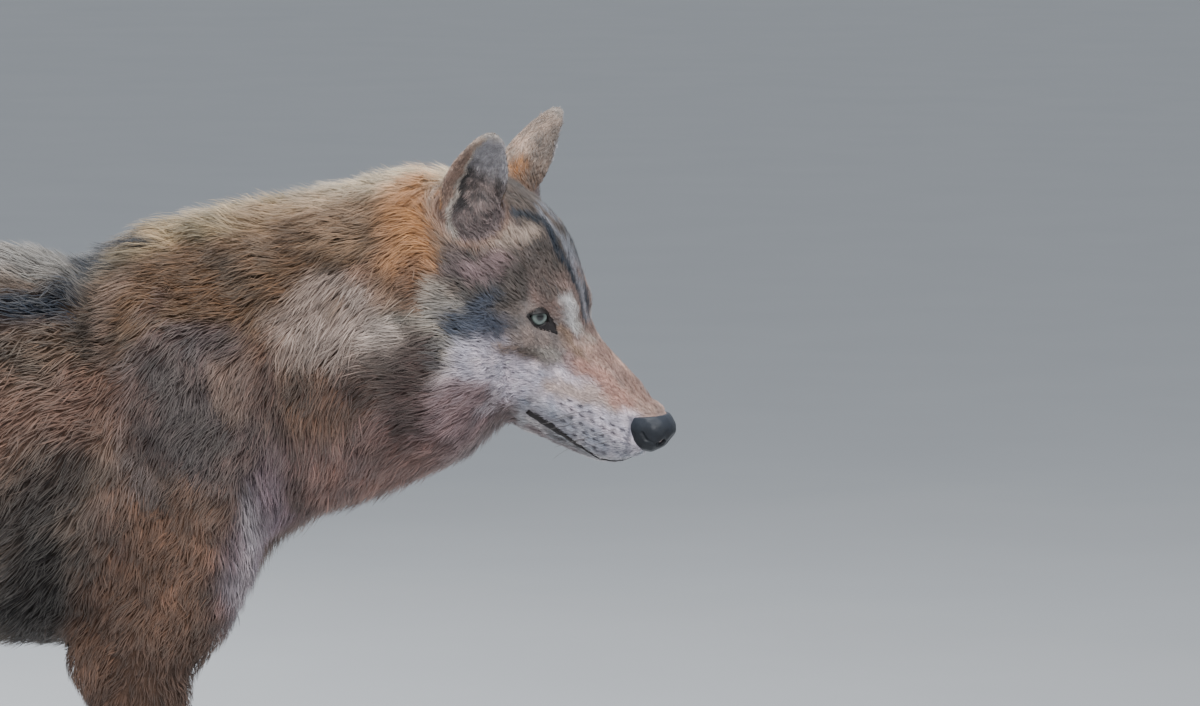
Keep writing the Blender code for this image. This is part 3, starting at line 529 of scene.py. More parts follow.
def paint_at(points, normals):
    """Colour of the coat, and the share of black-tipped locks, at points of the surface."""
    weights, _, _ = region_weights(points)
    colours = {name: linear(code) for name, (code, _) in PAINTS.items()}
    base = np.array([colours[region.paint] for region in REGIONS])
    ticks = np.array([PAINTS[region.paint][1] for region in REGIONS])
    sharper = weights ** 1.5
    sharper /= sharper.sum(1, keepdims=True)
    colour, tick = sharper @ base, sharper @ ticks
    mottle = 0.08 * ripple(points, 0.11, 10) + 0.13 * ripple(points, 0.032, 11)
    mottle += 0.10 * ripple(points, 0.014, 12)
    colour = colour * (1 + mottle[:, None] * MOTTLE_WARMTH)
    tick = tick * (1 + 0.7 * ripple(points, 0.045, 13))
    brindle = 0.20 * ripple(points, 0.055, 14)
    brindle *= smooth(0.43, 0.36, points[:, 0]) * smooth(0.34, 0.50, points[:, 2])  # not on head and legs
    colour = colour * (1 + brindle[:, None] * BRINDLE_WARMTH)

    # Markings have wavy edges, wider on the body than on the head.
    body = straightened(points)[0] + 0.010 * ripples(points, 0.09, (1, 2, 3))
    head, head_side = mirrored_head(points)
    wavy = head + 0.0028 * ripples(points, 0.03, (4, 5, 6))
    wavy += 0.0014 * ripples(points, 0.009, (7, 8, 9))

    def lay(cover, name):
        nonlocal colour, tick
        colour = colour + cover[:, None] * (colours[name] - colour)
        tick = tick + cover * (PAINTS[name][1] - tick)

    for place, markings in ((body, BODY_MARKINGS), (wavy, HEAD_MARKINGS)):
        for line, reach, full, name in markings:
            near = from_line(place, np.array(line) * MM) / (reach * MM)
            lay(full * (1 - smooth(*FADE, near)), name)

    ear = ear_share(head)
    facing = in_head(points + normals) - in_head(points)
    facing[:, 1] *= head_side
    inside = smooth(-0.05, 0.35, facing @ unit(EAR_FACING)) * ear
    up, back = ear_place(wavy)
    within = inside * (1 - smooth(0.40, 0.52, back))
    upper = smooth(0.15, 0.65, up)
    lay(within * upper * 0.9, "ear_lilac")
    lay(within * (1 - upper) * 0.85, "ear_pink")
    hollow = smooth(0.02, 0.26, back) * smooth(0.0, 0.2, up) * (1 - smooth(0.45, 0.72, up))
    lay(within * hollow * 0.95, "ear_shadow")
    speckle = smooth(-0.2, 0.6, ripple(points, 0.012, 9)) * smooth(0.05, 0.25, up)
    lay(within * speckle * (1 - smooth(0.45, 0.6, up)) * 0.7, "ear_shadow")
    lay(inside * smooth(0.40, 0.50, back) * (1 - smooth(0.60, 0.72, back)) * 0.9, "ear_rim")
    lay(inside * smooth(0.60, 0.72, back) * (1 - smooth(0.75, 0.95, up)) * 0.75, "ear_fold")
    lay(ear * (1 - inside) * (1 - smooth(0.1, 0.45, up)) * 0.8, "orange")
    lay(ear * (1 - inside) * smooth(0.35, 0.95, -back) * 0.55, "ear_edge")
    lay(smooth(0.88, 1.0, up) * ear * 0.8, "ear_rim")

    spots = whisker_spots()
    near = np.full(len(points), 1.0)
    muzzle = (head[:, 0] > -0.12) & (head[:, 2] < 0.0)
    if muzzle.any():
        gap = (head[muzzle][:, None, (0, 2)] - spots[None, :, (0, 2)]) * SPOT_LONG
        near[muzzle] = np.linalg.norm(gap, axis=2).min(1)
    lay(0.85 * (1 - smooth(0.7 * MM, 1.8 * MM, near)), "whisker_root")
    return np.clip(colour, 0, 1), np.clip(tick, 0, 1)


# ---------------------------------------------------------------- the skin

GROW = 0.6 * MM  # closes the thin cuts between the solids before they are fused
VOXEL = 2.4 * MM
SKIN_TRIANGLES = 150000
HEAD_THINNED = 0.55  # how freely the head's faces are thinned, against 1 on the body
THINNING_PULL = 2e-5  # how strongly the thinning follows that
SINK_STEPS = 6
SOFTEST_DEPTH = 14 * MM  # under a coat this deep the skin's smoothing is in full force
LIP_SINK = 1.4 * MM
BROW_SINK = 4.0 * MM
SOCKET_DEPTH = 5 * MM
BROW_EASE = 45  # rounds of smoothing that level the brow between the eyes
FLOW_EASE = 8  # rounds of smoothing of the lie of the hair


def mesh_arrays(mesh):
    """A mesh's points and triangles."""
    mesh.calc_loop_triangles()
    points = np.empty(len(mesh.vertices) * 3, np.float32)
    mesh.vertices.foreach_get("co", points)
    faces = np.empty(len(mesh.loop_triangles) * 3, np.int32)
    mesh.loop_triangles.foreach_get("vertices", faces)
    return points.reshape(-1, 3).astype(float), faces.reshape(-1, 3)


def new_object(name, data):
    obj = bpy.data.objects.new(name, data)
    bpy.context.scene.collection.objects.link(obj)
    return obj


def object_from(bm, name):
    mesh = bpy.data.meshes.new(name)
    bm.to_mesh(mesh)
    bm.free()
    return new_object(name, mesh)


def rounded(bm, name):
    """An object with its faces turned outward and shaded smooth."""
    bmesh.ops.recalc_face_normals(bm, faces=bm.faces)
    made = object_from(bm, name)
    made.data.shade_smooth()
    return made


def settle(obj):
    """Puts the object's modifiers into its mesh."""
    graph = bpy.context.evaluated_depsgraph_get()
    mesh = bpy.data.meshes.new_from_object(obj.evaluated_get(graph))
    obj.modifiers.clear()
    obj.data = mesh
    return obj


def node_copy(name, grow):
    """A CAD node's surface as a bmesh, merged and pushed out a little."""
    bm = bmesh.new()
    bm.from_mesh(frame["nodes"][name].data)
    bmesh.ops.remove_doubles(bm, verts=bm.verts, dist=0.01 * MM)
    bm.normal_update()
    for vert, normal in [(vert, vert.normal.copy()) for vert in bm.verts]:
        vert.co += normal * grow
    return bm


def fused_flesh():
    """All flesh solids as one closed surface, with finer faces on the head."""
    whole = bmesh.new()
    for name in [*FLESH, "nose_pad", "eye_left", "eye_right"]:
        part = node_copy(name, GROW)
        mesh = bpy.data.meshes.new("part")
        part.to_mesh(mesh)
        part.free()
        whole.from_mesh(mesh)
        bpy.data.meshes.remove(mesh)
    skin = object_from(whole, "skin")
    fuse = skin.modifiers.new("fuse", "REMESH")
    fuse.mode = "VOXEL"
    fuse.voxel_size = VOXEL
    settle(skin)
    points, _ = mesh_arrays(skin.data)
    local = in_head(points)
    on_head = (local[:, 0] > -0.30) & (np.abs(local[:, 2]) < 0.15)
    group = skin.vertex_groups.new(name="fine")
    group.add(np.flatnonzero(on_head).tolist(), HEAD_THINNED, "REPLACE")
    group.add(np.flatnonzero(~on_head).tolist(), 1.0, "REPLACE")
    thin = skin.modifiers.new("thin", "DECIMATE")
    thin.ratio = SKIN_TRIANGLES / (2 * len(skin.data.polygons))
    thin.vertex_group = "fine"
    thin.vertex_group_factor = THINNING_PULL
    return settle(skin)


def vertex_normals(points, faces):
    """Outward directions at the points, larger faces counting for more."""
    a, b, c = (points[faces[:, k]] for k in range(3))
    flat = np.cross(b - a, c - a)
    total = np.zeros_like(points)
    for k in range(3):
        for axis in range(3):
            total[:, axis] += np.bincount(faces[:, k], flat[:, axis], len(points))
    return unit(total)


def neighbour_mean(values, edges, count):
    """The mean of each point's neighbours."""
    total = np.zeros_like(values)
    for a, b in (edges.T, edges.T[::-1]):
        for axis in range(values.shape[1]):
            total[:, axis] += np.bincount(a, values[b, axis], len(values))
    return total / count[:, None]


def edges_of(faces, size):
    """The edges between the points, and how many meet at each point."""
    pairs = np.concatenate([faces[:, (0, 1)], faces[:, (1, 2)], faces[:, (2, 0)]])
    edges = np.unique(np.sort(pairs, axis=1), axis=0)
    count = np.bincount(edges.ravel(), minlength=size).clip(1)
    return edges, count


def sunk_skin(skin):
    """Sinks the fused surface by the coat's depth, smoothing it the more the deeper it goes."""
    points, faces = mesh_arrays(skin.data)
    edges, count = edges_of(faces, len(points))
    weights, _, _ = region_weights(points)
    depth = weights @ (np.array([region.depth for region in REGIONS]) * MM)
    depth *= smooth(0.0, 0.012, points[:, 2])  # the pads keep their place on the floor
    head, _ = mirrored_head(points)
    depth += LIP_SINK * beside(head, LIP_LINE, 1, 5)
    depth += BROW_SINK * beside(head, BROW_RIDGE, 6, 22)
    soft = np.clip(depth / SOFTEST_DEPTH, 0.03, 0.6)[:, None]
    for _ in range(SINK_STEPS):
        normals = vertex_normals(points, faces)
        points = points - normals * (depth / SINK_STEPS)[:, None]
        for _ in range(2):
            points += soft * (neighbour_mean(points, edges, count) - points)
    brow = beside(head, BROW_RIDGE, 14, 28) * smooth(1.15, 1.6, lid_share(head))
    for _ in range(BROW_EASE):
        points += 0.6 * brow[:, None] * (neighbour_mean(points, edges, count) - points)
    points[:, 2] = np.maximum(points[:, 2], 0)
    around_eyes = BVHTree.FromPolygons(points.tolist(), faces.tolist())
    head, side = mirrored_head(points)
    pit = SOCKET_DEPTH * (1 - smooth(0.90, 1.12, lid_share(head)))
    for sign in SIDES.values():
        _, _, gaze = lid_axes(sign)
        inward = -np.array(HEAD.to_3x3() @ gaze)
        points += inward * (pit * (side == sign))[:, None]
    skin.data.vertices.foreach_set("co", points.astype(np.float32).ravel())
    skin.data.update()
    return points, faces, edges, count, around_eyes


def store_colour(mesh, colour):
    """Keeps a colour for each point in the mesh, for its material to read."""
    layer = mesh.color_attributes.new("Coat", "FLOAT_COLOR", "POINT")
    full = np.concatenate([colour, np.ones((len(colour), 1))], 1)
    layer.data.foreach_set("color", full.astype(np.float32).ravel())


# ---------------------------------------------------------------- the coat

LONG_LOCK = 40 * MM  # a lock at least this long bends twice along its length
CURVED_LOCK = 8 * MM  # and one at least this long follows the curve of the body
SHORT_STATIONS = (0.0, 0.45, 1.0)  # where along a lock its rings lie
LONG_STATIONS = (0.0, 0.30, 0.68, 1.0)
TUFT_PULL, CLUMP_PULL = 0.26, 0.16  # how far tips are drawn to the leader of their tuft and of their clump
STRAY_SHARE = 0.11  # of locks that stand up from the coat
ROOT_SUNK = 0.8 * MM
NOSE_BARE, LIP_BARE, SOLE_BARE = 0.6 * MM, 2.2 * MM, 3 * MM  # no hair grows nearer to these
EYE_BARE = 1.04  # nor within this share of the way to the lids' rim
FLOOR_GAP = 0.4 * MM  # between the lowest hair and the floor
COAT_SOFTNESS = 0.66  # how much of a lock's shading comes from the coat's lie, not from its own roundness
PATCH = 0.003  # size of a lock's place on the bake map
UNDERCOAT_SHADE = 0.95  # the skin's colour against the coat's
ROOT_SHADE_SHORT, ROOT_SHADE_LONG = 0.90, 0.80  # what share of its colour a lock keeps at its root
TIP_FROM = 0.66  # where along a lock its tip colour starts
TIP_PALE = linear("#efe6da")
TIP_BLACK = linear("#17161a")
SQUARE_CM = 1e4  # in a square metre


def bare_places(points, nose_surface):
    """Where no hair grows: in the open eye, on the nose, along the lips and under the feet."""
    head, _ = mirrored_head(points)
    nose = np.zeros(len(points), bool)
    for index in np.flatnonzero(head[:, 0] > -0.045):
        near, out, _, away = nose_surface.find_nearest(points[index])
        nose[index] = away < NOSE_BARE or (Vector(points[index]) - near).dot(out) < 0
    lips = from_line(head, LIP_LINE) < LIP_BARE
    return nose | lips | (lid_share(head) < EYE_BARE) | (points[:, 2] < SOLE_BARE)


def grown_roots(points, faces, fields, nose_surface, rng):
    """Roots spread over the surface by the regions' density, with every field read at each root."""
    a, b, c = (points[faces[:, k]] for k in range(3))
    area = np.linalg.norm(np.cross(b - a, c - a), axis=1) / 2
    wanted = area * SQUARE_CM * fields["density"][faces].mean(1)
    upto = np.cumsum(wanted)
    places = np.arange(int(upto[-1])) + rng.random(int(upto[-1]))
    which = np.searchsorted(upto, places).clip(0, len(faces) - 1)
    u, v = rng.random((2, len(which)))
    over = u + v > 1
    u[over], v[over] = 1 - u[over], 1 - v[over]
    shares = np.stack([1 - u - v, u, v], 1)
    corners = faces[which]
    read = {}
    for name, values in {**fields, "at": points}.items():
        if values.ndim == 1:
            read[name] = (values[corners] * shares).sum(1)
        else:
            read[name] = (values[corners] * shares[:, :, None]).sum(1)
    kept = ~bare_places(read["at"], nose_surface)
    read = {name: values[kept] for name, values in read.items()}
    read["normal"] = unit(read["normal"])
    flow = read["flow"] - read["normal"] * (read["flow"] * read["normal"]).sum(1, keepdims=True)
    read["flow"] = unit(flow)
    return read


def gather(at, share, rng):
    """Groups roots into tufts around a share of them, and gives for each root the index of its leader."""
    leaders = np.flatnonzero(rng.random(len(at)) < share)
    tree = KDTree(len(leaders))
    for place, index in enumerate(leaders):
        tree.insert(at[index], place)
    tree.balance()
    return leaders[[tree.find(point)[1] for point in at]]


def lock_paths(read, surface, rng):
    """Stations of every lock from root to tip, and its width. Longer locks follow the body's curve."""
    at, normal, length = read["at"], read["normal"], read["length"]
    size = len(at)
    short = 1 - smooth(8 * MM, 30 * MM, length)
    leader = gather(at, 0.12 + 0.14 * short, rng)  # of a tuft; tufts are larger in long hair
    chief = gather(at, 0.014 + 0.026 * short, rng)  # of a clump of tufts
    tuft = 0.75 * rng.normal(size=(4, size))[:, leader] + 0.65 * rng.normal(size=(4, size))[:, chief]
    own = rng.normal(size=(3, size))
    angle = 10 * ripple(at, 0.07, 8) + 9 * ripple(at, 0.025, 12)  # degrees off the lie
    angle = angle + 13 * tuft[0] + (15 - 5 * short) * own[0]
    flow = turned(read["flow"], normal, np.radians(angle))
    length = length * np.clip(1 + 0.10 * tuft[1] + 0.12 * own[1], 0.6, 1.4)
    stray = rng.random(size) < STRAY_SHARE
    rise = read["depth"] * np.clip(0.86 + 0.14 * tuft[2] + 0.16 * own[2] + 0.35 * stray, 0.35, 1.5)
    run = np.sqrt(np.maximum(length**2 - rise**2, (0.3 * length) ** 2))
    reach = at + flow * run[:, None]
    bend, end_normal = np.zeros_like(at), normal.copy()
    for index in np.flatnonzero(length > CURVED_LOCK):
        near, out, _, _ = surface.find_nearest(reach[index])
        bend[index] = near - Vector(reach[index])
        end_normal[index] = out
    far = np.linalg.norm(bend, axis=1) > 0.6 * run  # past an edge, where the body turns away
    bend[far] *= (0.6 * run[far] / np.linalg.norm(bend[far], axis=1))[:, None]
    end_normal = np.where(((end_normal * normal).sum(1) > -0.2)[:, None], end_normal, normal)

    def station(t):
        out = unit(normal * (1 - t) + end_normal * t)
        height = rise * (1 - (1 - t) ** 1.7)
        return at + flow * (run * t)[:, None] + bend * t**2 + out * height[:, None]

    def drawn_in(t, pull):
        path = station(t)
        for heads, share in zip((leader, chief), pull):
            path = path + share * (path[heads] - path)
        return path

    pull = np.array([
        np.where(np.linalg.norm(at[heads] - at, axis=1) > 0.5 * length, 0, share)[:, None]
        for heads, share in ((leader, TUFT_PULL), (chief, CLUMP_PULL))
    ])
    long = length >= LONG_LOCK
    width = read["width"] * np.clip(1 + 0.18 * own[0], 0.6, 1.5)
    tone = np.clip(1 + 0.17 * tuft[3] + 0.09 * own[1], 0.55, 1.6)
    root, tip = at - normal * ROOT_SUNK, drawn_in(1.0, pull)
    first, second = drawn_in(LONG_STATIONS[1], 0.15 * pull), drawn_in(LONG_STATIONS[2], 0.6 * pull)
    paths = {
        "short": np.stack([root, drawn_in(SHORT_STATIONS[1], 0.3 * pull), tip], 1),
        "long": np.stack([root, first, second, tip], 1),
    }
    for path in paths.values():
        path[:, :, 2] = np.maximum(path[:, :, 2], FLOOR_GAP)
    return paths, long, width, tone, flow


def lock_colours(colour, tick, tone, length, stations, rng):
    """Wool at the root, the coat's own colour along the lock, and a pale or a black tip."""
    size = len(colour)
    black = (rng.random(size) < tick)[:, None]
    colour = colour * tone[:, None]
    long = smooth(9 * MM, 30 * MM, length)[:, None]
    root = ROOT_SHADE_SHORT + (ROOT_SHADE_LONG - ROOT_SHADE_SHORT) * long
    dark = 0.45 + 0.35 * long
    pale = 0.05 + 0.13 * long
    tip = np.where(black, TIP_BLACK * dark + colour * (1 - dark), colour * (1 - pale) + TIP_PALE * pale)
    band = 1 + 0.26 * long * np.where(black, 1.0, 0.5)  # the pale band under a dark tip
    made = []
    for t in stations:
        shade = root + (band - root) * smooth(0.0, TIP_FROM, t)
        end = smooth(TIP_FROM, 1.0, t) * np.where(black, 1.0, 0.85)
        made.append(colour * shade * (1 - end) + tip * end)
    return np.clip(np.stack(made, 1), 0, 1)


def unwrapped(points, piece, side):
    """Each root's place on its piece's own round unwrap, filling the map."""
    middle, axis = (np.array(values, float) for values in UNWRAP[piece])
    from_axis = points - middle
    along = from_axis @ axis
    axis = axis / np.linalg.norm(axis)
    if piece in ("foreleg", "hindleg"):
        from_axis = from_axis - np.outer(side, (0, LEG_OUT, 0))
    up = np.array([0.0, 0.0, 1.0]) if abs(axis[2]) < 0.9 else np.array([1.0, 0.0, 0.0])
    up = unit(up - axis * (up @ axis))
    around = np.arctan2(from_axis @ np.cross(axis, up), from_axis @ up)
    place = np.stack([along, around], 1)
    low, high = place.min(0), place.max(0)
    return 0.01 + (place - low) / (high - low) * (0.98 - PATCH)


def lock_mesh(path, flow, normal, width, colour, place, softness):
    """Vertices, faces, colours, map places, strand places and normals of closed three-sided locks."""
    size, stations = path.shape[:2]
    rings = stations - 2
    across = unit(np.cross(flow, normal))
    verts, tints = [path[:, :1]], [colour[:, :1]]
    corner_u = (0.0, 1.0, 0.5)
    for ring in range(rings):
        half = (width * (0.5 if ring == 0 else 0.40))[:, None]
        middle = path[:, ring + 1]
        corners = (middle + across * half, middle - across * half, middle + normal * half * 0.6)
        verts.append(np.stack(corners, 1))
        tints.append(np.repeat(colour[:, ring + 1:ring + 2], 3, 1))
    verts.append(path[:, -1:])
    tints.append(colour[:, -1:])
    last = 1 + 3 * rings
    faces = []
    for k in range(3):
        faces.append((0, 1 + (k + 1) % 3, 1 + k))
        for ring in range(rings - 1):
            a, b = 1 + 3 * ring + k, 1 + 3 * ring + (k + 1) % 3
            faces += [(a, b, b + 3), (a, b + 3, a + 3)]
        top = 1 + 3 * (rings - 1)
        faces.append((top + k, top + (k + 1) % 3, last))
    faces = np.array(faces)
    map_u = np.array([0.5, *corner_u * rings, 0.5]) * PATCH
    map_v = np.array([0.0, *np.repeat(np.arange(1, rings + 1) / (rings + 1), 3), 1.0]) * PATCH
    maps = place[:, None] + np.stack([map_u, map_v], 1)[None]
    strand = np.empty((size, last + 1, 3))
    strand[:, :, 0], strand[:, :, 1] = map_u / PATCH, map_v / PATCH
    strand[:, :, 2] = (place @ (917.0, 1373.0) % 1.0)[:, None]  # a grain of its own for each lock
    return (
        np.concatenate(verts, 1).reshape(-1, 3),
        (faces[None] + np.arange(size)[:, None, None] * (last + 1)).reshape(-1, 3),
        np.concatenate(tints, 1).reshape(-1, 3),
        maps.reshape(-1, 2),
        strand.reshape(-1, 3),
        np.repeat(normal * softness[:, None], last + 1, 0),
    )


def locks_object(name, verts, faces, tints, maps, strand, outward):
    """The locks as one object, shaded as part of the coat they lie in."""
    mesh = bpy.data.meshes.new(name)
    mesh.vertices.add(len(verts))
    mesh.vertices.foreach_set("co", verts.astype(np.float32).ravel())
    mesh.loops.add(faces.size)
    mesh.loops.foreach_set("vertex_index", faces.astype(np.int32).ravel())
    mesh.polygons.add(len(faces))
    mesh.polygons.foreach_set("loop_start", np.arange(0, faces.size, 3, dtype=np.int32))
    mesh.update(calc_edges=True)
    store_colour(mesh, tints)
    layer = mesh.attributes.new("Strand", "FLOAT_VECTOR", "POINT")
    layer.data.foreach_set("vector", strand.astype(np.float32).ravel())
    places = mesh.uv_layers.new(name="OFBake")
    places.data.foreach_set("uv", maps[faces.ravel()].astype(np.float32).ravel())
    mesh.shade_smooth()
    # Light falls on a lock much as on the coat it lies in, so its own roundness counts only in part.
    share = np.linalg.norm(outward, axis=1, keepdims=True)
    softened = unit(vertex_normals(verts, faces) * (1 - share) + outward)
    mesh.normals_split_custom_set_from_vertices(softened.astype(np.float32))
    return new_object(name, mesh)


def joined(parts):
    """Several lots of locks as one: their faces are renumbered, and the rest is put end to end."""
    offset, moved = 0, []
    for verts, faces, *rest in parts:
        moved.append((verts, faces + offset, *rest))
        offset += len(verts)
    return [np.concatenate(column) for column in zip(*moved)]


def grow_coat(points, faces, edges, count, normals, surface, nose_surface):
    """All locks of the coat, as one mesh for each part of the body and side."""
    rng = np.random.default_rng(SEED)
    weights, body_side, head_side = region_weights(points)
    flow = lie_of_hair(points, normals, weights, body_side, head_side)
    for _ in range(FLOW_EASE):
        flow = neighbour_mean(flow, edges, count)
        flow = unit(flow - normals * (flow * normals).sum(1, keepdims=True))
    table = np.array([(row.depth, row.length, row.width, row.density) for row in REGIONS], float)
    depth, length, width, density = (weights @ table[:, k] for k in range(4))
    head, _ = mirrored_head(points)
    # Hair is shorter round the eyes, along the lips and at the ear tips.
    close = 0.40 + 0.60 * smooth(1.0, 2.6, lid_share(head))
    close *= 0.45 + 0.55 * smooth(2 * MM, 11 * MM, from_line(head, LIP_LINE))
    close *= 0.45 + 0.55 * (1 - smooth(0.75, 1.0, ear_place(head)[0]) * ear_share(head))
    length, depth = length * close, depth * np.sqrt(close)
    fields = {
        "normal": normals, "flow": flow, "depth": depth * MM, "length": length * MM,
        "width": width * MM, "density": density,
    }
    read = grown_roots(points, faces, fields, nose_surface, rng)
    weights, body_side, head_side = region_weights(read["at"])
    piece = PIECE_OF[weights.argmax(1)]
    side = np.where(np.isin(piece, HEAD_PIECES), head_side, body_side)
    paths, long, width, tone, flow = lock_paths(read, surface, rng)
    shows = (paths["long"][:, 2] + paths["long"][:, 3]) / 2  # where the lock comes to the top of the coat
    colour, tick = paint_at(shows, read["normal"])
    tints = {
        "short": lock_colours(colour, tick, tone, read["length"], SHORT_STATIONS, rng),
        "long": lock_colours(colour, tick, tone, read["length"], LONG_STATIONS, rng),
    }
    softness = COAT_SOFTNESS * (1 - ear_share(mirrored_head(read["at"])[0]))
    made = []
    for name in dict.fromkeys(PIECE_OF):
        halves = (("", None),) if name == "tail" else (("_right", -1), ("_left", 1))
        for ending, sign in halves:
            mine = piece == name
            if sign is not None:
                mine &= side == sign
            place = np.zeros((len(piece), 2))
            place[mine] = unwrapped(read["at"][mine], name, side[mine])
            parts = []
            for kind, chosen in (("short", mine & ~long), ("long", mine & long)):
                if chosen.any():
                    parts.append(lock_mesh(
                        paths[kind][chosen], flow[chosen], read["normal"][chosen], width[chosen],
                        tints[kind][chosen], place[chosen], softness[chosen],
                    ))
            made.append(locks_object(f"coat_{name}{ending}", *joined(parts)))
    return made


# ---------------------------------------------------------------- eyes and lids

EYE_RADIUS = 12.0 * MM
IRIS_RADIUS = 8.3 * MM
CORNEA_BULGE = 0.045  # of the eye's clear front, as a share of the radius
EYE_OUT = 36.7 * MM  # of each eye's middle from the head's midplane
GAZE = Vector((0.491, 0.786, 0.375))  # of the left eye, in the head's axes
LASH_LINE = 1.1  # mm by which the upper lid's edge stands out over the eye
# How far each ring of a lid lies on the way from the opening to the rim, and how high over the eye, in mm.
LID_RINGS = ((-0.25, -0.8), (0.0, 0.2), (0.10, 0.7), (0.35, 0.9), (0.70, 0.7), (1.0, 0.35))
# The opening between the lids, and the outer edge of its bare black rim, in mm from the middle of
# the iris: forward and up, when the head is held nodded as it is here.
OPENING = (
    (-9.0, 1.0), (-7.4, -2.4), (-4.6, -6.0), (-0.4, -7.9), (4.0, -7.2), (7.4, -5.8), (11.0, -7.8),
    (9.6, -3.2), (7.9, 0.2), (6.4, 2.6), (3.4, 3.5), (-1.5, 3.3), (-6.4, 2.5),
)
RIM = (
    (-12.4, 1.6), (-8.8, -3.6), (-5.8, -7.8), (-0.6, -10.6), (5.8, -11.8), (11.2, -13.8), (17.4, -16.6),
    (15.0, -9.6), (11.0, -2.2), (8.5, 3.0), (4.4, 4.9), (-1.8, 4.9), (-7.6, 4.1),
)
FAR_FROM_EYE = 5.0  # what lid_share gives for all points well past the rim


def lid_axes(side):
    """Level forward, up and outward at an eye, in the head's own axes."""
    level = Matrix(HEAD_AXES.T.tolist()) @ Vector((1, 0, 0))  # as the head is held
    gaze = Vector((GAZE.x, -GAZE.y, GAZE.z)).normalized()
    forward = (level - gaze * level.dot(gaze)).normalized()
    up = forward.cross(gaze)
    up = -up if up.z < 0 else up
    flip = Matrix.Diagonal((1, -side, 1))
    return flip @ forward, flip @ up, flip @ gaze


def eye_middle(side):
    return Vector((EYES_IN_HEAD.x, side * EYE_OUT, EYES_IN_HEAD.z))


def lid_share(head):
    """How far points in the folded head's axes lie from the middle of the lids' rim: 1 at its edge."""
    forward, up, gaze = (np.array(axis) for axis in lid_axes(1))
    offset = head - np.array(eye_middle(1))
    rim = np.array(RIM) * MM
    middle = rim.mean(0)
    a, b = offset @ forward - middle[0], offset @ up - middle[1]
    edge = rim - middle
    turn = np.arctan2(edge[:, 1], edge[:, 0])
    order = np.argsort(turn)
    reach = np.interp(np.arctan2(b, a), turn[order], np.hypot(*edge.T)[order], period=2 * math.pi)
    share = np.hypot(a, b) / reach
    return np.where((offset @ gaze > -6 * MM) & (share < FAR_FROM_EYE), share, FAR_FROM_EYE)


def closed_curve(outline, per_side=5):
    """A closed outline run through by a Catmull-Rom curve."""
    points = np.array(outline, float)
    made = []
    for k in range(len(points)):
        a, b, c, d = (points[(k + j) % len(points)] for j in (-1, 0, 1, 2))
        for t in np.arange(per_side) / per_side:
            made.append(0.5 * (2 * b + (c - a) * t + (2 * a - 5 * b + 4 * c - d) * t**2
                               + (3 * b - a - 3 * c + d) * t**3))
    return np.array(made)


def bridged(bm, rings):
    """Skins closed rings of points one to the next."""
    loops = []
    for ring in rings:
        verts = [bm.verts.new(point) for point in ring]
        loops.append([bm.edges.new(pair) for pair in zip(verts, verts[1:] + verts[:1])])
    for one, other in zip(loops, loops[1:]):
        bmesh.ops.bridge_loops(bm, edges=one + other)
    return loops


def lids(name, side, surface):
    """The bare rims of both lids with the tear corner, sinking into the skin all round."""
    forward, up, gaze = lid_axes(side)
    middle = eye_middle(side)
    opening = closed_curve(OPENING) * MM
    rim = closed_curve(RIM) * MM

    def on_skin(a, b, lift):
        start = HEAD @ (middle + forward * a + up * b + gaze * 9 * MM)
        near, out, _, _ = surface.find_nearest(start)
        return near + out * lift * MM

    def over_ball(point, lift):
        off = point - HEAD @ middle
        return HEAD @ middle + off * max(1.0, (1.02 * EYE_RADIUS + lift * MM) / off.length)

    rings = []
    for outward, lift in LID_RINGS:
        ring = []
        for (a, b), (c, d) in zip(opening, rim):
            u, v = a + (c - a) * outward, b + (d - b) * outward
            ball = math.sqrt(max(EYE_RADIUS**2 - a * a - b * b, (8.0 * MM) ** 2))
            inner = HEAD @ (middle + forward * u + up * v + gaze * (ball + lift * MM))
            point = inner.lerp(on_skin(u, v, lift), max(0.0, outward))
            proud = LASH_LINE * smooth(0.0, 2.5 * MM, b) * smooth(0.45, 0.0, outward) * (outward >= 0)
            ring.append(over_ball(point + HEAD.to_3x3() @ gaze * float(proud) * MM, lift))
        rings.append(ring)
    centre = rim.mean(0)
    rings.append([over_ball(on_skin(*(centre + (point - centre) * 1.16), -2.5), 0.2) for point in rim])
    bm = bmesh.new()
    bridged(bm, rings)
    return rounded(bm, f"lids_{name}")


def eyeball(name, side):
    """The eye as one polished ball with the slight bulge of its clear front."""
    forward, up, gaze = lid_axes(side)
    bm = bmesh.new()
    bmesh.ops.create_uvsphere(bm, u_segments=48, v_segments=32, radius=EYE_RADIUS)
    iris_edge = math.cos(math.asin(IRIS_RADIUS / EYE_RADIUS))
    for vert in bm.verts:
        share = smooth(iris_edge - 0.03, 1.0, vert.co.z / EYE_RADIUS)
        vert.co *= 1 + CORNEA_BULGE * float(share)
    place = Matrix((forward, up, gaze)).transposed().to_4x4()
    layer = bm.loops.layers.uv.new("EyePlane")  # mm from the middle of the iris
    for face in bm.faces:
        for loop in face.loops:
            loop[layer].uv = (loop.vert.co.x / MM, loop.vert.co.y / MM)
    bm.transform(HEAD @ Matrix.Translation(eye_middle(side)) @ place)
    return rounded(bm, f"eyeball_{name}")


# ---------------------------------------------------------------- nose, lips, claws, whiskers

NOSE_VOXEL = 0.6 * MM
NOSE_EASE = 26  # rounds of smoothing
# In the folded head's axes: the slit beside each nostril, the wing over it and the nostril itself.
NOSE_SLIT = ((-0.004, 0.0150, -0.0150), (-0.014, 0.0205, -0.0165), (-0.020, 0.0215, -0.0140))
NOSE_WING = ((-0.006, 0.0150, -0.0080), (-0.014, 0.0180, -0.0070))
NOSTRIL = ((-0.0015, 0.0110, -0.0130), (-0.0040, 0.0140, -0.0150))
NOSE_FUR_EDGE = ((-0.0166, 0.0074), (-0.0352, -0.0088))  # along and up, from its top to its wing

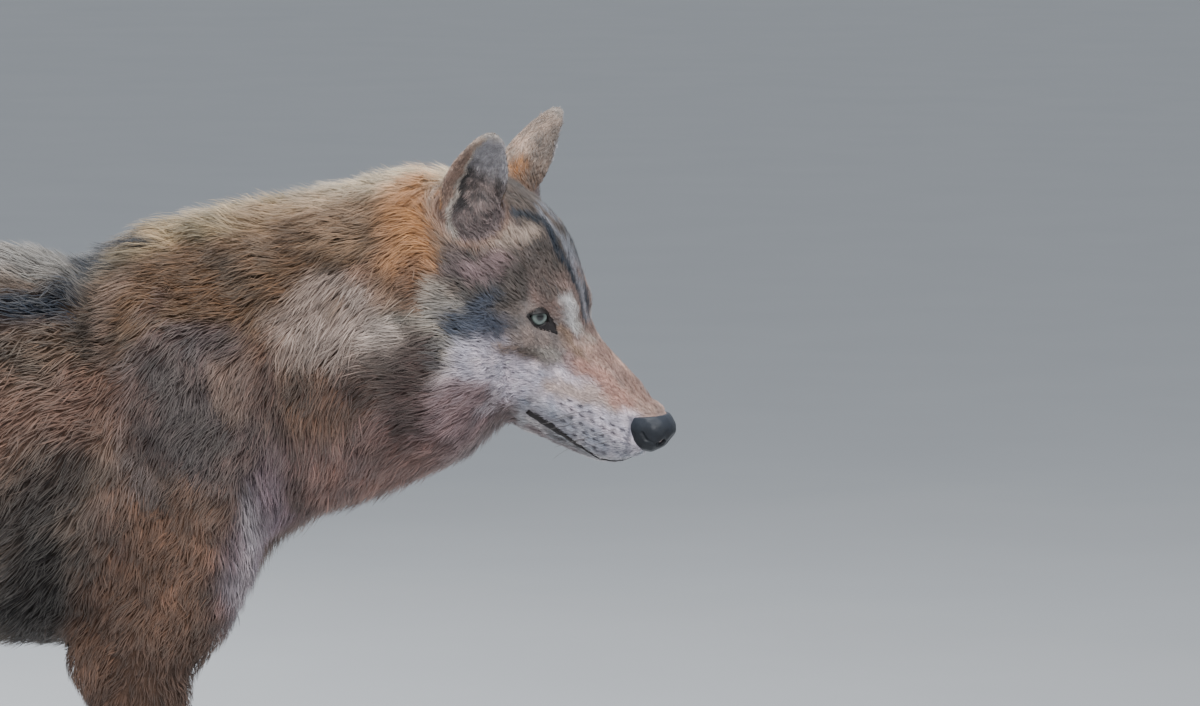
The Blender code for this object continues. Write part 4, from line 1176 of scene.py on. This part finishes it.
RING = [2 * math.pi * step / 10 for step in range(10)]  # the points round a lip or a claw, as angles
LIP_STATIONS = 40
LIP_LIFT = 1.3 * MM
LIP_ROLL = 1.2 * MM

CLAW_LENGTH = 15 * MM
CLAW_THICK = 3.7 * MM
CLAW_DROP = 12.5 * MM
CLAW_ROOT_UP = 19 * MM
PADS = {"fore": (0.056, 0.043), "hind": (0.049, 0.037)}  # length and width of a sole
TOES = ((-1.5, 0.14), (-0.5, 0.50), (0.5, 0.50), (1.5, 0.14))  # place across, and share of a sole ahead
TOE_LONG = 0.36  # of a sole's length

# Bristles besides those of the muzzle's rows: root in the head's axes, length in mm, and heading.
BRISTLES = (
    (-0.150, 0.040, 0.043, 24, (-0.5, 0.75, 0.7)),
    (-0.156, 0.043, 0.041, 27, (-0.7, 0.7, 0.6)),
    (-0.150, 0.068, -0.060, 30, (-0.7, 0.7, -0.5)),
    (-0.060, 0.016, -0.078, 20, (-0.5, 0.3, -0.9)),
)
BRISTLE_WIDTH = 0.55 * MM


def fur_over_nose(head):
    """How far points in the folded head's axes lie behind the front edge of the nose's fur."""
    (x1, z1), (x2, z2) = NOSE_FUR_EDGE
    across = np.array([-(z1 - z2), x1 - x2])
    across /= np.linalg.norm(across)
    return (head[:, (0, 2)] - (x2, z2)) @ across


def nose_leather():
    """The bare nose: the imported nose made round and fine, with the groove between its halves."""
    nose = object_from(node_copy("nose_pad", 0.0), "nose")
    fine = nose.modifiers.new("fine", "REMESH")
    fine.mode = "VOXEL"
    fine.voxel_size = NOSE_VOXEL
    ease = nose.modifiers.new("ease", "SMOOTH")
    ease.factor = 0.6
    ease.iterations = NOSE_EASE
    settle(nose)
    points, faces = mesh_arrays(nose.data)
    head, _ = mirrored_head(points)
    front = smooth(-0.012, -0.004, head[:, 0])
    groove = (1 - smooth(0.0, 1.5 * MM, head[:, 1])) * smooth(-0.002, -0.010, head[:, 2]) * front
    slit = beside(head, NOSE_SLIT, 0.3, 2.2)
    wing = beside(head, NOSE_WING, 1.0, 5.0)
    hole = beside(head, NOSTRIL, 1.6, 3.4)
    covered = smooth(-1.5 * MM, 1.5 * MM, fur_over_nose(head))
    sink = 1.1 * groove + 1.3 * slit - 0.7 * wing + 1.1 * hole + 4.0 * covered - 0.6  # mm inward
    points = points - vertex_normals(points, faces) * (sink * MM)[:, None]
    nose.data.vertices.foreach_set("co", points.astype(np.float32).ravel())
    nose.data.update()
    nose.data.shade_smooth()
    return nose


def tube(bm, rings):
    """Skins rings of points one to the next, and closes both ends."""
    loops = bridged(bm, rings)
    for loop in (loops[0], loops[-1]):
        bmesh.ops.edgeloop_fill(bm, edges=loop)


def lip_line(name, side, surface):
    """The dark edge of the lips along one side of the mouth."""
    line = np.array(LIP_LINE)
    gaps = np.array(MOUTH_GAP) * MM
    stations = []
    for place in np.linspace(0, len(line) - 1, LIP_STATIONS):
        low = min(int(place), len(line) - 2)
        share = place - low
        x, y, z = line[low] * (1 - share) + line[low + 1] * share
        gap = gaps[low] * (1 - share) + gaps[low + 1] * share
        near, out, _, _ = surface.find_nearest(HEAD @ Vector((x, side * y, z)))
        stations.append((near, out, gap))
    rings = []
    for index, (near, out, gap) in enumerate(stations):
        ahead = stations[min(index + 1, LIP_STATIONS - 1)][0] - stations[max(index - 1, 0)][0]
        sideways = ahead.normalized().cross(out).normalized()
        roll = min(LIP_ROLL, gap)
        rings.append([
            near + out * (LIP_LIFT + roll * math.sin(angle)) + sideways * gap * math.cos(angle)
            for angle in RING
        ])
    bm = bmesh.new()
    tube(bm, rings)
    return rounded(bm, f"lips_{name}")


def claws(paw):
    """Four blunt claws, curving down from the toes of one paw."""
    low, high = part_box(paw)
    length, width = PADS[paw[:4]]
    middle_x = high.x - (TOES[1][1] + TOE_LONG) * length - 14 * MM
    middle_y = (low.y + high.y) / 2
    bm = bmesh.new()
    for place, ahead in TOES:
        turn = Matrix.Rotation(math.radians(place * 7), 4, "Z")
        root = Vector((middle_x + ahead * length, middle_y + place * width * 0.46, 0))
        rings = []
        for share in (0, 0.3, 0.55, 0.8, 0.94, 1):
            reach = TOE_LONG * length - 4 * MM + (CLAW_LENGTH + 2.5 * MM) * share
            height = CLAW_ROOT_UP - CLAW_DROP * share**1.6
            size = CLAW_THICK * math.sqrt(max(0.02, 1 - share**2.2))
            rings.append([
                root + turn @ Vector((reach, math.cos(angle) * size * 0.72, height + math.sin(angle) * size))
                for angle in RING
            ])
        tube(bm, rings)
    return rounded(bm, f"claws_{paw}")


def whiskers(surface):
    """Stiff hairs of the muzzle and the brows."""
    rng = np.random.default_rng(SEED + 1)
    roots = [(*spot, 34, (-0.80, 0.60, -0.55)) for spot in whisker_spots()[::3]]
    paths, flows, normals = [], [], []
    for side in SIDES.values():
        for x, y, z, reach, (fx, fy, fz) in [*roots, *BRISTLES]:
            near, out, _, _ = surface.find_nearest(HEAD @ Vector((x, side * y, z)))
            along = HEAD.to_3x3() @ Vector((fx, side * fy, fz)).normalized()
            reach = reach * MM * rng.uniform(0.8, 1.15)
            sag = Vector((0, 0, -0.22 * reach))
            bend = [near + along * reach * t + sag * t * t for t in (0.25, 0.5, 0.75, 1.0)]
            paths.append([near - out * MM, *bend])
            flows.append(along)
            normals.append(out)
    size, stations = len(paths), len(paths[0])
    tints = np.broadcast_to(linear("#6c6765"), (size, stations, 3))
    return locks_object("whiskers", *lock_mesh(
        np.array(paths), np.array(flows), np.array(normals), np.full(size, BRISTLE_WIDTH), tints,
        rng.random((size, 2)) * 0.9, np.zeros(size),
    ))


# ---------------------------------------------------------------- materials

STRAND_GRAIN = (5.0, 1.3, 61.0)  # about five hairs across a lock, each nearly even along it
IRIS_REACH = 10.0  # mm from the middle of the eye to the end of its rings of colour
IRIS_RINGS = (  # share of that reach, and colour: the pupil, the iris, its dark edge
    (0.0, "#050506"), (0.295, "#08080a"), (0.345, "#2f3633"), (0.45, "#5c6661"), (0.64, "#747f7a"),
    (0.74, "#4a5350"), (0.83, "#1b201f"), (0.90, "#0e0c0c"),
)


def material(name):
    made = bpy.data.materials.new(name)
    made.use_nodes = True
    made.node_tree.nodes.clear()
    return made, made.node_tree


def node(tree, kind, values=None, links=None, **settings):
    """Adds one node. values sets its inputs; links joins an input to (node, output)."""
    made = tree.nodes.new(kind)
    for key, value in settings.items():
        setattr(made, key, value)
    for key, value in (values or {}).items():
        made.inputs[key].default_value = value
    for key, (source, output) in (links or {}).items():
        tree.links.new(source.outputs[output], made.inputs[key])
    return made


def rgba(code):
    return (*linear(code), 1.0)


def noise(tree, size, detail, **more):
    """Noise with features about size across, in the piece's own coordinates."""
    place = node(tree, "ShaderNodeTexCoord")
    values = {"Scale": 1 / size, "Detail": detail, **more}
    return node(tree, "ShaderNodeTexNoise", values, {"Vector": (place, "Object")})


def carried(tree, value, low, high, start=0.0, end=1.0):
    """A value between start and end, carried over to between low and high."""
    values = {"From Min": start, "From Max": end, "To Min": low, "To Max": high}
    return node(tree, "ShaderNodeMapRange", values, {"Value": value})


def two_tone(tree, share, first, second):
    values = {"A": rgba(first), "B": rgba(second)}
    return node(tree, "ShaderNodeMix", values, {"Factor": share}, data_type="RGBA")


def shaded_by(tree, colour, shade):
    return node(tree, "ShaderNodeVectorMath", links={0: colour, 1: shade}, operation="MULTIPLY")


def relief(tree, height, strength, distance):
    return node(tree, "ShaderNodeBump", {"Strength": strength, "Distance": distance}, {"Height": height})


def with_surface(made, values, links):
    """Adds the surface shader and the output, and gives the material back."""
    shader = node(made.node_tree, "ShaderNodeBsdfPrincipled", values, links)
    node(made.node_tree, "ShaderNodeOutputMaterial", links={"Surface": (shader, "BSDF")})
    return made


def guard_hair():
    """Winter guard hair: keratin over pigment, each lock its own tone, with a soft dry sheen."""
    made, tree = material("winter_guard_hair")
    tint = node(tree, "ShaderNodeAttribute", attribute_name="Coat")
    strand = node(tree, "ShaderNodeAttribute", attribute_name="Strand")
    drawn = node(tree, "ShaderNodeVectorMath", {1: STRAND_GRAIN}, {0: (strand, "Vector")},
                 operation="MULTIPLY")
    hairs = node(tree, "ShaderNodeTexNoise", {"Scale": 1.0, "Detail": 1.0}, {"Vector": (drawn, "Vector")})
    shade = carried(tree, (hairs, "Fac"), 0.72, 1.26, 0.3, 0.7)
    mixed = shaded_by(tree, (tint, "Color"), (shade, "Result"))
    rough = carried(tree, (noise(tree, 4.2 * MM, 2.0), "Fac"), 0.52, 0.72)
    return with_surface(
        made, {"IOR": 1.55, "Specular IOR Level": 0.32, "Sheen Weight": 0.12, "Sheen Roughness": 0.45},
        {"Base Color": (mixed, "Vector"), "Roughness": (rough, "Result")},
    )


def woolly_skin():
    """Skin under dense wool: matt, with a felted grain that darkens between the hairs."""
    made, tree = material("woolly_skin")
    tint = node(tree, "ShaderNodeAttribute", attribute_name="Coat")
    felt = noise(tree, 2.4 * MM, 4.0, Roughness=0.65)
    shade = carried(tree, (felt, "Fac"), 0.65, 1.15, 0.3, 0.7)
    mixed = shaded_by(tree, (tint, "Color"), (shade, "Result"))
    bump = relief(tree, (felt, "Fac"), 0.7, 1.2 * MM)
    return with_surface(
        made, {"Roughness": 0.9, "Specular IOR Level": 0.2, "Sheen Weight": 0.1},
        {"Base Color": (mixed, "Vector"), "Normal": (bump, "Normal")},
    )


def damp_leather():
    """Nose leather: black, with a painted reflection of the sky that makes its top slaty, pebbled, with a
    damp film on the ridges.
    """
    made, tree = material("damp_nose_leather")
    place = node(tree, "ShaderNodeTexCoord")
    cells = node(tree, "ShaderNodeTexVoronoi", {"Scale": 1 / (1.2 * MM)}, {"Vector": (place, "Object")},
                 feature="DISTANCE_TO_EDGE")
    height = carried(tree, (cells, "Distance"), 0.0, 1.0, 0.0, 0.35)
    cloud = noise(tree, 6.2 * MM, 3.0)
    low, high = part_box("nose_pad")
    split = node(tree, "ShaderNodeSeparateXYZ", links={0: (place, "Object")})
    # Painted reflection of the sky: the colour grows slaty towards the top, with some random cloud mixed in.
    upper = carried(tree, (split, "Z"), 0.0, 0.6, low.z + 18 * MM, high.z - 4 * MM)
    paler = node(tree, "ShaderNodeMath", {1: 0.22}, {0: (cloud, "Fac"), 2: (upper, "Result")},
                 operation="MULTIPLY_ADD")
    colour = two_tone(tree, (paler, "Value"), "#0a0c10", "#4a525f")
    bump = relief(tree, (height, "Result"), 0.35, 0.25 * MM)
    rough = carried(tree, (cloud, "Fac"), 0.38, 0.54)
    return with_surface(
        made, {"IOR": 1.45},
        {"Base Color": (colour, "Result"), "Roughness": (rough, "Result"), "Normal": (bump, "Normal")},
    )


def clouded(name, size, detail, tones, roughness, bump, ior):
    """A two-toned surface whose gloss and fine relief follow the same noise."""
    made, tree = material(name)
    streak = (noise(tree, size, detail), "Fac")
    colour = two_tone(tree, streak, *tones)
    rough = carried(tree, streak, *roughness)
    raised = relief(tree, streak, *bump)
    return with_surface(
        made, {"IOR": ior},
        {"Base Color": (colour, "Result"), "Roughness": (rough, "Result"), "Normal": (raised, "Normal")},
    )


def rim_skin():
    """Bare skin of lips and lids: near black, finely creased and slightly moist."""
    tones, gloss, creases = ("#161314", "#2b2525"), (0.34, 0.60), (0.4, 0.3 * MM)
    return clouded("bare_rim_skin", 1.1 * MM, 3.0, tones, gloss, creases, 1.42)


def claw_horn():
    """Horn of the claws: dark brown, clouded with paler horn, worn to a dull polish."""
    tones, gloss, streaks = ("#1d1815", "#4a3d33"), (0.32, 0.55), (0.3, 0.2 * MM)
    return clouded("claw_horn", 3.3 * MM, 4.0, tones, gloss, streaks, 1.54)


def glass_eye():
    """Blown glass eye: a pale grey-green iris with fine spokes, dark at its edge, with the upper lid's
    shade painted on its upper part, below clear polish."""
    made, tree = material("painted_glass_eye")
    plane = node(tree, "ShaderNodeUVMap", uv_map="EyePlane")
    reach = node(tree, "ShaderNodeVectorMath", links={0: (plane, "UV")}, operation="LENGTH")
    spokes = node(tree, "ShaderNodeTexNoise", {"Scale": 1.1, "Detail": 3.0}, {"Vector": (plane, "UV")})
    wobble = node(tree, "ShaderNodeMath", {1: 0.9}, {0: (spokes, "Fac")}, operation="MULTIPLY")
    uneven = node(tree, "ShaderNodeMath", links={0: (reach, "Value"), 1: (wobble, "Value")}, operation="ADD")
    scaled = node(tree, "ShaderNodeMath", {1: IRIS_REACH}, {0: (uneven, "Value")}, operation="DIVIDE")
    ramp = node(tree, "ShaderNodeValToRGB", links={"Fac": (scaled, "Value")})
    elements = ramp.color_ramp.elements
    while len(elements) < len(IRIS_RINGS):
        elements.new(1.0)
    for element, (place, code) in zip(elements, IRIS_RINGS):
        element.position = place
        element.color = rgba(code)
    split = node(tree, "ShaderNodeSeparateXYZ", links={0: (plane, "UV")})
    # Painted shade of the upper lid and lashes, darkening the upper part of the iris.
    painted_lid_shade = carried(tree, (split, "Y"), 1.0, 0.22, -1.5, 3.2)
    colour = shaded_by(tree, (ramp, "Color"), (painted_lid_shade, "Result"))
    return with_surface(
        made, {"Roughness": 0.18, "IOR": 1.45, "Coat Weight": 1.0, "Coat Roughness": 0.02},
        {"Base Color": (colour, "Vector")},
    )


def plain_floor():
    """Matt studio floor, pale and almost even."""
    made, tree = material("pale_studio_floor")
    colour = two_tone(tree, (noise(tree, 330 * MM, 3.0), "Fac"), "#b4b7bb", "#bcbfc2")
    return with_surface(made, {"Roughness": 0.85}, {"Base Color": (colour, "Result")})


# ---------------------------------------------------------------- stage

AIM = Vector((0.5874, -0.0380, 0.6770))
DISTANCE = 6.0
ELEVATION = 6.0  # degrees over level
LENS = 201.6  # mm, on a sensor 36 mm wide
FLOOR_REACH = 90
LAMPS = (  # name, place, aim, size across and power
    ("key", (1.2, -2.6, 3.0), (0.25, 0, 0.6), 2.4, 130),
    ("top", (-0.4, 0.6, 3.4), (0.1, 0, 0.6), 2.6, 80),
    ("back", (-1.5, 2.8, 1.8), (0, 0, 0.6), 1.8, 45),
)


def looking(place, aim):
    return (Vector(aim) - Vector(place)).to_track_quat("-Z", "Y").to_euler()


def set_stage():
    bm = bmesh.new()
    bmesh.ops.create_grid(bm, x_segments=2, y_segments=2, size=FLOOR_REACH)
    floor = object_from(bm, "floor")
    floor.data.materials.append(plain_floor())
    world = bpy.data.worlds.new("studio")
    world.use_nodes = True
    sky = world.node_tree.nodes["Background"]
    sky.inputs["Color"].default_value = rgba("#c4c9cf")
    sky.inputs["Strength"].default_value = 0.95
    bpy.context.scene.world = world
    for name, place, aim, size, power in LAMPS:
        data = bpy.data.lights.new(name, "AREA")
        data.shape = "DISK"
        data.size = size
        data.energy = power
        lamp = new_object(name, data)
        lamp.location = place
        lamp.rotation_euler = looking(place, aim)


def set_camera():
    data = bpy.data.cameras.new("camera")
    data.sensor_width = 36
    data.lens = LENS
    camera = new_object("camera", data)
    tilt = math.radians(ELEVATION)
    camera.location = AIM + DISTANCE * Vector((0, -math.cos(tilt), math.sin(tilt)))
    camera.rotation_euler = looking(camera.location, AIM)
    bpy.context.scene.camera = camera


# ---------------------------------------------------------------- putting the animal together


def attach(obj, finish, slot, *nodes):
    obj.data.materials.clear()
    obj.data.materials.append(finish)
    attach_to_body(obj, "root")
    if nodes:
        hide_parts(*nodes)


def main():
    skin = fused_flesh()
    points, faces, edges, count, around_eyes = sunk_skin(skin)
    normals = vertex_normals(points, faces)
    store_colour(skin.data, paint_at(points, normals)[0] * UNDERCOAT_SHADE)
    skin.data.shade_smooth()
    surface = BVHTree.FromPolygons(points.tolist(), faces.tolist())

    hair, rim = guard_hair(), rim_skin()
    attach(skin, woolly_skin(), "winter_coat", *FLESH)
    nose = nose_leather()
    attach(nose, damp_leather(), "nose_leather", "nose_pad")
    nose_points, nose_faces = mesh_arrays(nose.data)
    nose_surface = BVHTree.FromPolygons(nose_points.tolist(), nose_faces.tolist())
    for lot in grow_coat(points, faces, edges, count, normals, surface, nose_surface):
        attach(lot, hair, "winter_coat")
    eye = glass_eye()
    for name, side in SIDES.items():
        attach(eyeball(name, side), eye, "eye_glass", f"eye_{name}")
        attach(lids(name, side, around_eyes), rim, "lip_skin")
        attach(lip_line(name, side, surface), rim, "lip_skin")
    horn = claw_horn()
    for paw in ("forepaw_right", "forepaw_left", "hindpaw_right", "hindpaw_left"):
        attach(claws(paw), horn, "claw_horn")
    attach(whiskers(surface), hair, "whisker_bristle")
    set_stage()
    set_camera()


main()
